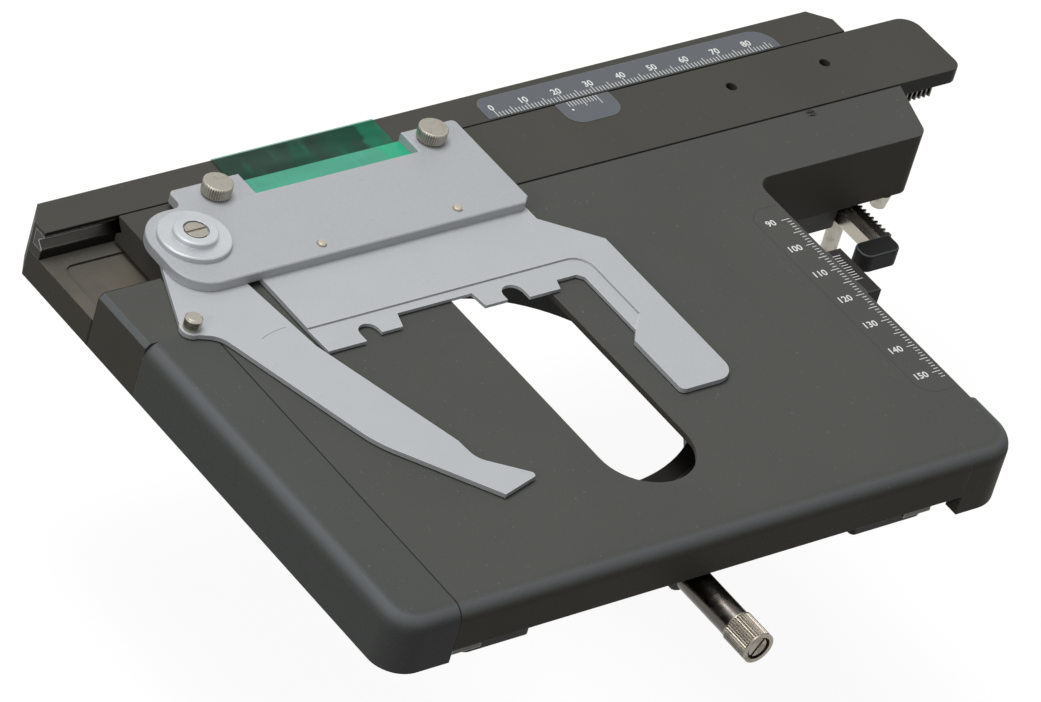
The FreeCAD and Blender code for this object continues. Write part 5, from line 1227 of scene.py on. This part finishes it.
@dataclass
class SpecimenHolder(SubAssembly):
    """The bright plates that hold the specimen, and what fixes them."""

    pivot: tuple[float, float, float] = (-63.5, 53.1, 0.0)
    left_screw: tuple[float, float, float] = (-48.6, 65.8, 0.0)
    right_screw: tuple[float, float, float] = (14.9, 65.8, 0.0)
    ledge_face: float = 25.2
    ledge_left: float = -53.4
    ledge_line: float = 18.95
    ledge_right: float = 27.6
    ledge_front: float = -3.7
    ledge_corner: float = 5.0
    scribe_width: float = 0.22
    scribe_depth: float = 0.04

    def finishes(self) -> dict[str, Finish]:
        """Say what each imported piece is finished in."""
        housing = nickel("housing_nickel", self.pivot, Turned.ABOUT_Z)
        return {
            "finger_plate": FINGER_SATIN,
            "holder_plate": HOLDER_SATIN,
            "holder_rivets": RIVET_SATIN,
            "film_strip": GREEN_FILM,
            "spring_housing": WorkedMetal(
                "housing_satin", shade(190, 193, 196), shade(226, 228, 230), metallic=0.75
            ),
            "pivot_screw": housing,
            "lever_spring": GROUND_RAIL,
            "thumbscrew_left": nickel("left_nickel", self.left_screw, Turned.ABOUT_Z),
            "thumbscrew_right": nickel("right_nickel", self.right_screw, Turned.ABOUT_Z),
        }

    def build(self) -> None:
        """Paint a shade line along the foot of the ledge on the finger plate."""
        corner = self.ledge_corner
        middle = (self.ledge_right - corner, self.ledge_line - corner)
        bend = arc(middle, corner, 0.0, math.pi / 2, steps=6)
        start = (self.ledge_left, self.ledge_line)
        end = (self.ledge_right, self.ledge_front)
        # Painted shade: a dark line where the ledge meets the finger plate.
        line_tool = Lettering(SCRIBE_AND_SHADE_INK, self.scribe_depth)
        line_tool.line(
            "ledge_line", [start, *bend, end], self.ledge_face, self.scribe_width, "x_slide"
        )


@dataclass
class SpecimenLever(SubAssembly):
    """The sprung lever and its finger pin."""

    pin: tuple[float, float, float] = (-79.9, 28.8, 0.0)
    face: float = 25.5
    mark_middle: tuple[float, float] = (-58.3, 0.6)
    mark_radius: float = 20.6
    mark_sweep: float = 0.4
    mark_width: float = 0.16
    mark_depth: float = 0.03

    def finishes(self) -> dict[str, Finish]:
        """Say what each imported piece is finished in."""
        return {
            "lever": FINGER_SATIN,
            "lever_pin": nickel("pin_nickel", self.pin, Turned.ABOUT_Z),
        }

    def build(self) -> None:
        """Scribe the faint curved mark across the lever."""
        mark = arc(self.mark_middle, self.mark_radius, 0.0, -self.mark_sweep)
        line_tool = Lettering(SCRIBE_AND_SHADE_INK, self.mark_depth)
        line_tool.line("lever_mark", mark, self.face, self.mark_width, "lever")


@dataclass
class StandClamp(SubAssembly):
    """The screw under the front that holds the stage on its stand."""

    axis_point: tuple[float, float, float] = (0.0, -68.0, 5.8)

    def finishes(self) -> dict[str, Finish]:
        """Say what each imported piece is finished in."""
        plated = LatheMetal(
            "clamp_nickel",
            shade(144, 138, 127),
            shade(62, 57, 50),
            self.axis_point,
            Turned.ABOUT_Y,
            dirt_share=0.6,
        )
        return {
            "clamp_pad": GIB_BRASS,
            "clamp_spindle": DARK_SPINDLE,
            "clamp_sleeve": plated,
            "clamp_cap_screw": plated,
        }


@dataclass
class CoaxialDrive(SubAssembly):
    """The two knobs, shafts and pinions that move the stage."""

    axis_point: tuple[float, float, float] = (135.85, 41.0, 0.0)

    def finishes(self) -> dict[str, Finish]:
        """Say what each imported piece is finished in."""
        plated = nickel("drive_nickel", self.axis_point, Turned.ABOUT_Z)
        return {
            "y_sleeve": plated,
            "y_pinion": GIB_BRASS,
            "y_knob": KNOB_BLACK,
            "x_shaft": plated,
            "x_pinion": GIB_BRASS,
            "x_knob": KNOB_BLACK,
        }


@dataclass
class RollerCages(SubAssembly):
    """The cages and crossed rollers inside the ways."""

    def finishes(self) -> dict[str, Finish]:
        """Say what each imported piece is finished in."""
        return {
            "x_cage": GIB_BRASS,
            "x_rollers": ROLLER_STEEL,
            "y_cage_left": CAGE_BRASS,
            "y_rollers_left": ROLLER_STEEL,
            "y_cage_right": CAGE_BRASS,
            "y_rollers_right": ROLLER_STEEL,
        }


@dataclass
class Studio:
    """The floor, lamps, world and camera round the stage."""

    floor_level: float = -66.3
    floor_reach: float = 6000.0
    key_height: float = 1500.0
    key_size: float = 900.0
    key_watts: float = 17.0
    side_watts: float = 4.0
    world_share: float = 0.16
    aim: tuple[float, float, float] = (38.2, 68.5, 24.0)
    heading: float = 0.813
    tilt: float = 0.644
    roll: float = 0.296
    distance: float = 1875.16
    shift_right: float = 5.733
    shift_down: float = 53.925
    lens: float = 269.6

    def build(self) -> None:
        """Set up the whole studio."""
        self._floor()
        self._world()
        self._lamp("key", (-250.0, 350.0, self.key_height), self.key_size, self.key_watts)
        self._lamp("side", (-1300.0, -200.0, 700.0), 700.0, self.side_watts)
        self._camera()
        bpy.context.scene.view_settings.view_transform = "Standard"

    def _floor(self) -> None:
        """Lay the pale floor under the lowest knob."""
        shape = bmesh.new()
        reach = self.floor_reach * MM
        level = self.floor_level * MM
        corners = ((-reach, -reach), (reach, -reach), (reach, reach), (-reach, reach))
        shape.faces.new([shape.verts.new((x, y, level)) for x, y in corners])
        mesh = bpy.data.meshes.new("floor")
        shape.to_mesh(mesh)
        shape.free()
        mesh.materials.append(WHITE_FLOOR.material())
        floor = bpy.data.objects.new("floor", mesh)
        bpy.context.scene.collection.objects.link(floor)

    def _world(self) -> None:
        """Show white to the camera and to gloss, and light softly."""
        world = bpy.data.worlds.new("studio")
        world.use_nodes = True
        world.node_tree.nodes.clear()
        wiring = Wiring(world.node_tree)
        strength = self.world_share + wiring.seen() * (1.0 - self.world_share)
        sky = wiring.add(
            "ShaderNodeBackground",
            {},
            {"Color": (1.0, 1.0, 1.0, 1.0), "Strength": strength},
        )
        wiring.add("ShaderNodeOutputWorld", {}, {"Surface": sky.outputs[0]})
        bpy.context.scene.world = world

    def _lamp(
        self, name: str, spot: tuple[float, float, float], size: float, watts: float
    ) -> None:
        """Hang a square soft lamp that points at the stage.

        Args:
            name: The lamp's name.
            spot: Where it hangs, in millimetres.
            size: The side of its face.
            watts: Its power.
        """
        data = bpy.data.lights.new(name, "AREA")
        data.shape = "SQUARE"
        data.size = size * MM
        data.energy = watts
        lamp = bpy.data.objects.new(name, data)
        lamp.location = Vector(spot) * MM
        way = Vector((20.0, 0.0, 10.0)) * MM - lamp.location
        lamp.rotation_euler = way.to_track_quat("-Z", "Y").to_euler()
        bpy.context.scene.collection.objects.link(lamp)

    def _camera(self) -> None:
        """Place the camera where the photograph was taken from."""
        way = Vector(
            (
                math.sin(self.heading) * math.cos(self.tilt),
                math.cos(self.heading) * math.cos(self.tilt),
                -math.sin(self.tilt),
            )
        )
        level = Vector((math.cos(self.heading), -math.sin(self.heading), 0.0))
        rise = level.cross(way)
        right = level * math.cos(self.roll) + rise * math.sin(self.roll)
        up = rise * math.cos(self.roll) - level * math.sin(self.roll)
        spot = (
            Vector(self.aim)
            + right * self.shift_right
            - up * self.shift_down
            - way * self.distance
        )
        data = bpy.data.cameras.new("camera")
        data.sensor_width = 36.0
        data.lens = self.lens
        data.clip_start = 0.05
        data.clip_end = 50.0
        camera = bpy.data.objects.new("camera", data)
        turn = Matrix((right, up, -way)).transposed().to_4x4()
        camera.matrix_world = Matrix.Translation(spot * MM) @ turn
        bpy.context.scene.collection.objects.link(camera)
        bpy.context.scene.camera = camera


def main() -> None:
    """Load the frame, dress and build every sub-assembly, and set up the studio."""
    logging.basicConfig(level=logging.INFO, format="%(message)s")
    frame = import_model()
    assemblies = (
        Base(),
        Stage(),
        CrossSlide(),
        SpecimenHolder(),
        SpecimenLever(),
        StandClamp(),
        CoaxialDrive(),
        RollerCages(),
    )
    for assembly in assemblies:
        assembly.dress(frame["nodes"])
        assembly.build()
    Studio().build()


if __name__ == "__main__":
    main()
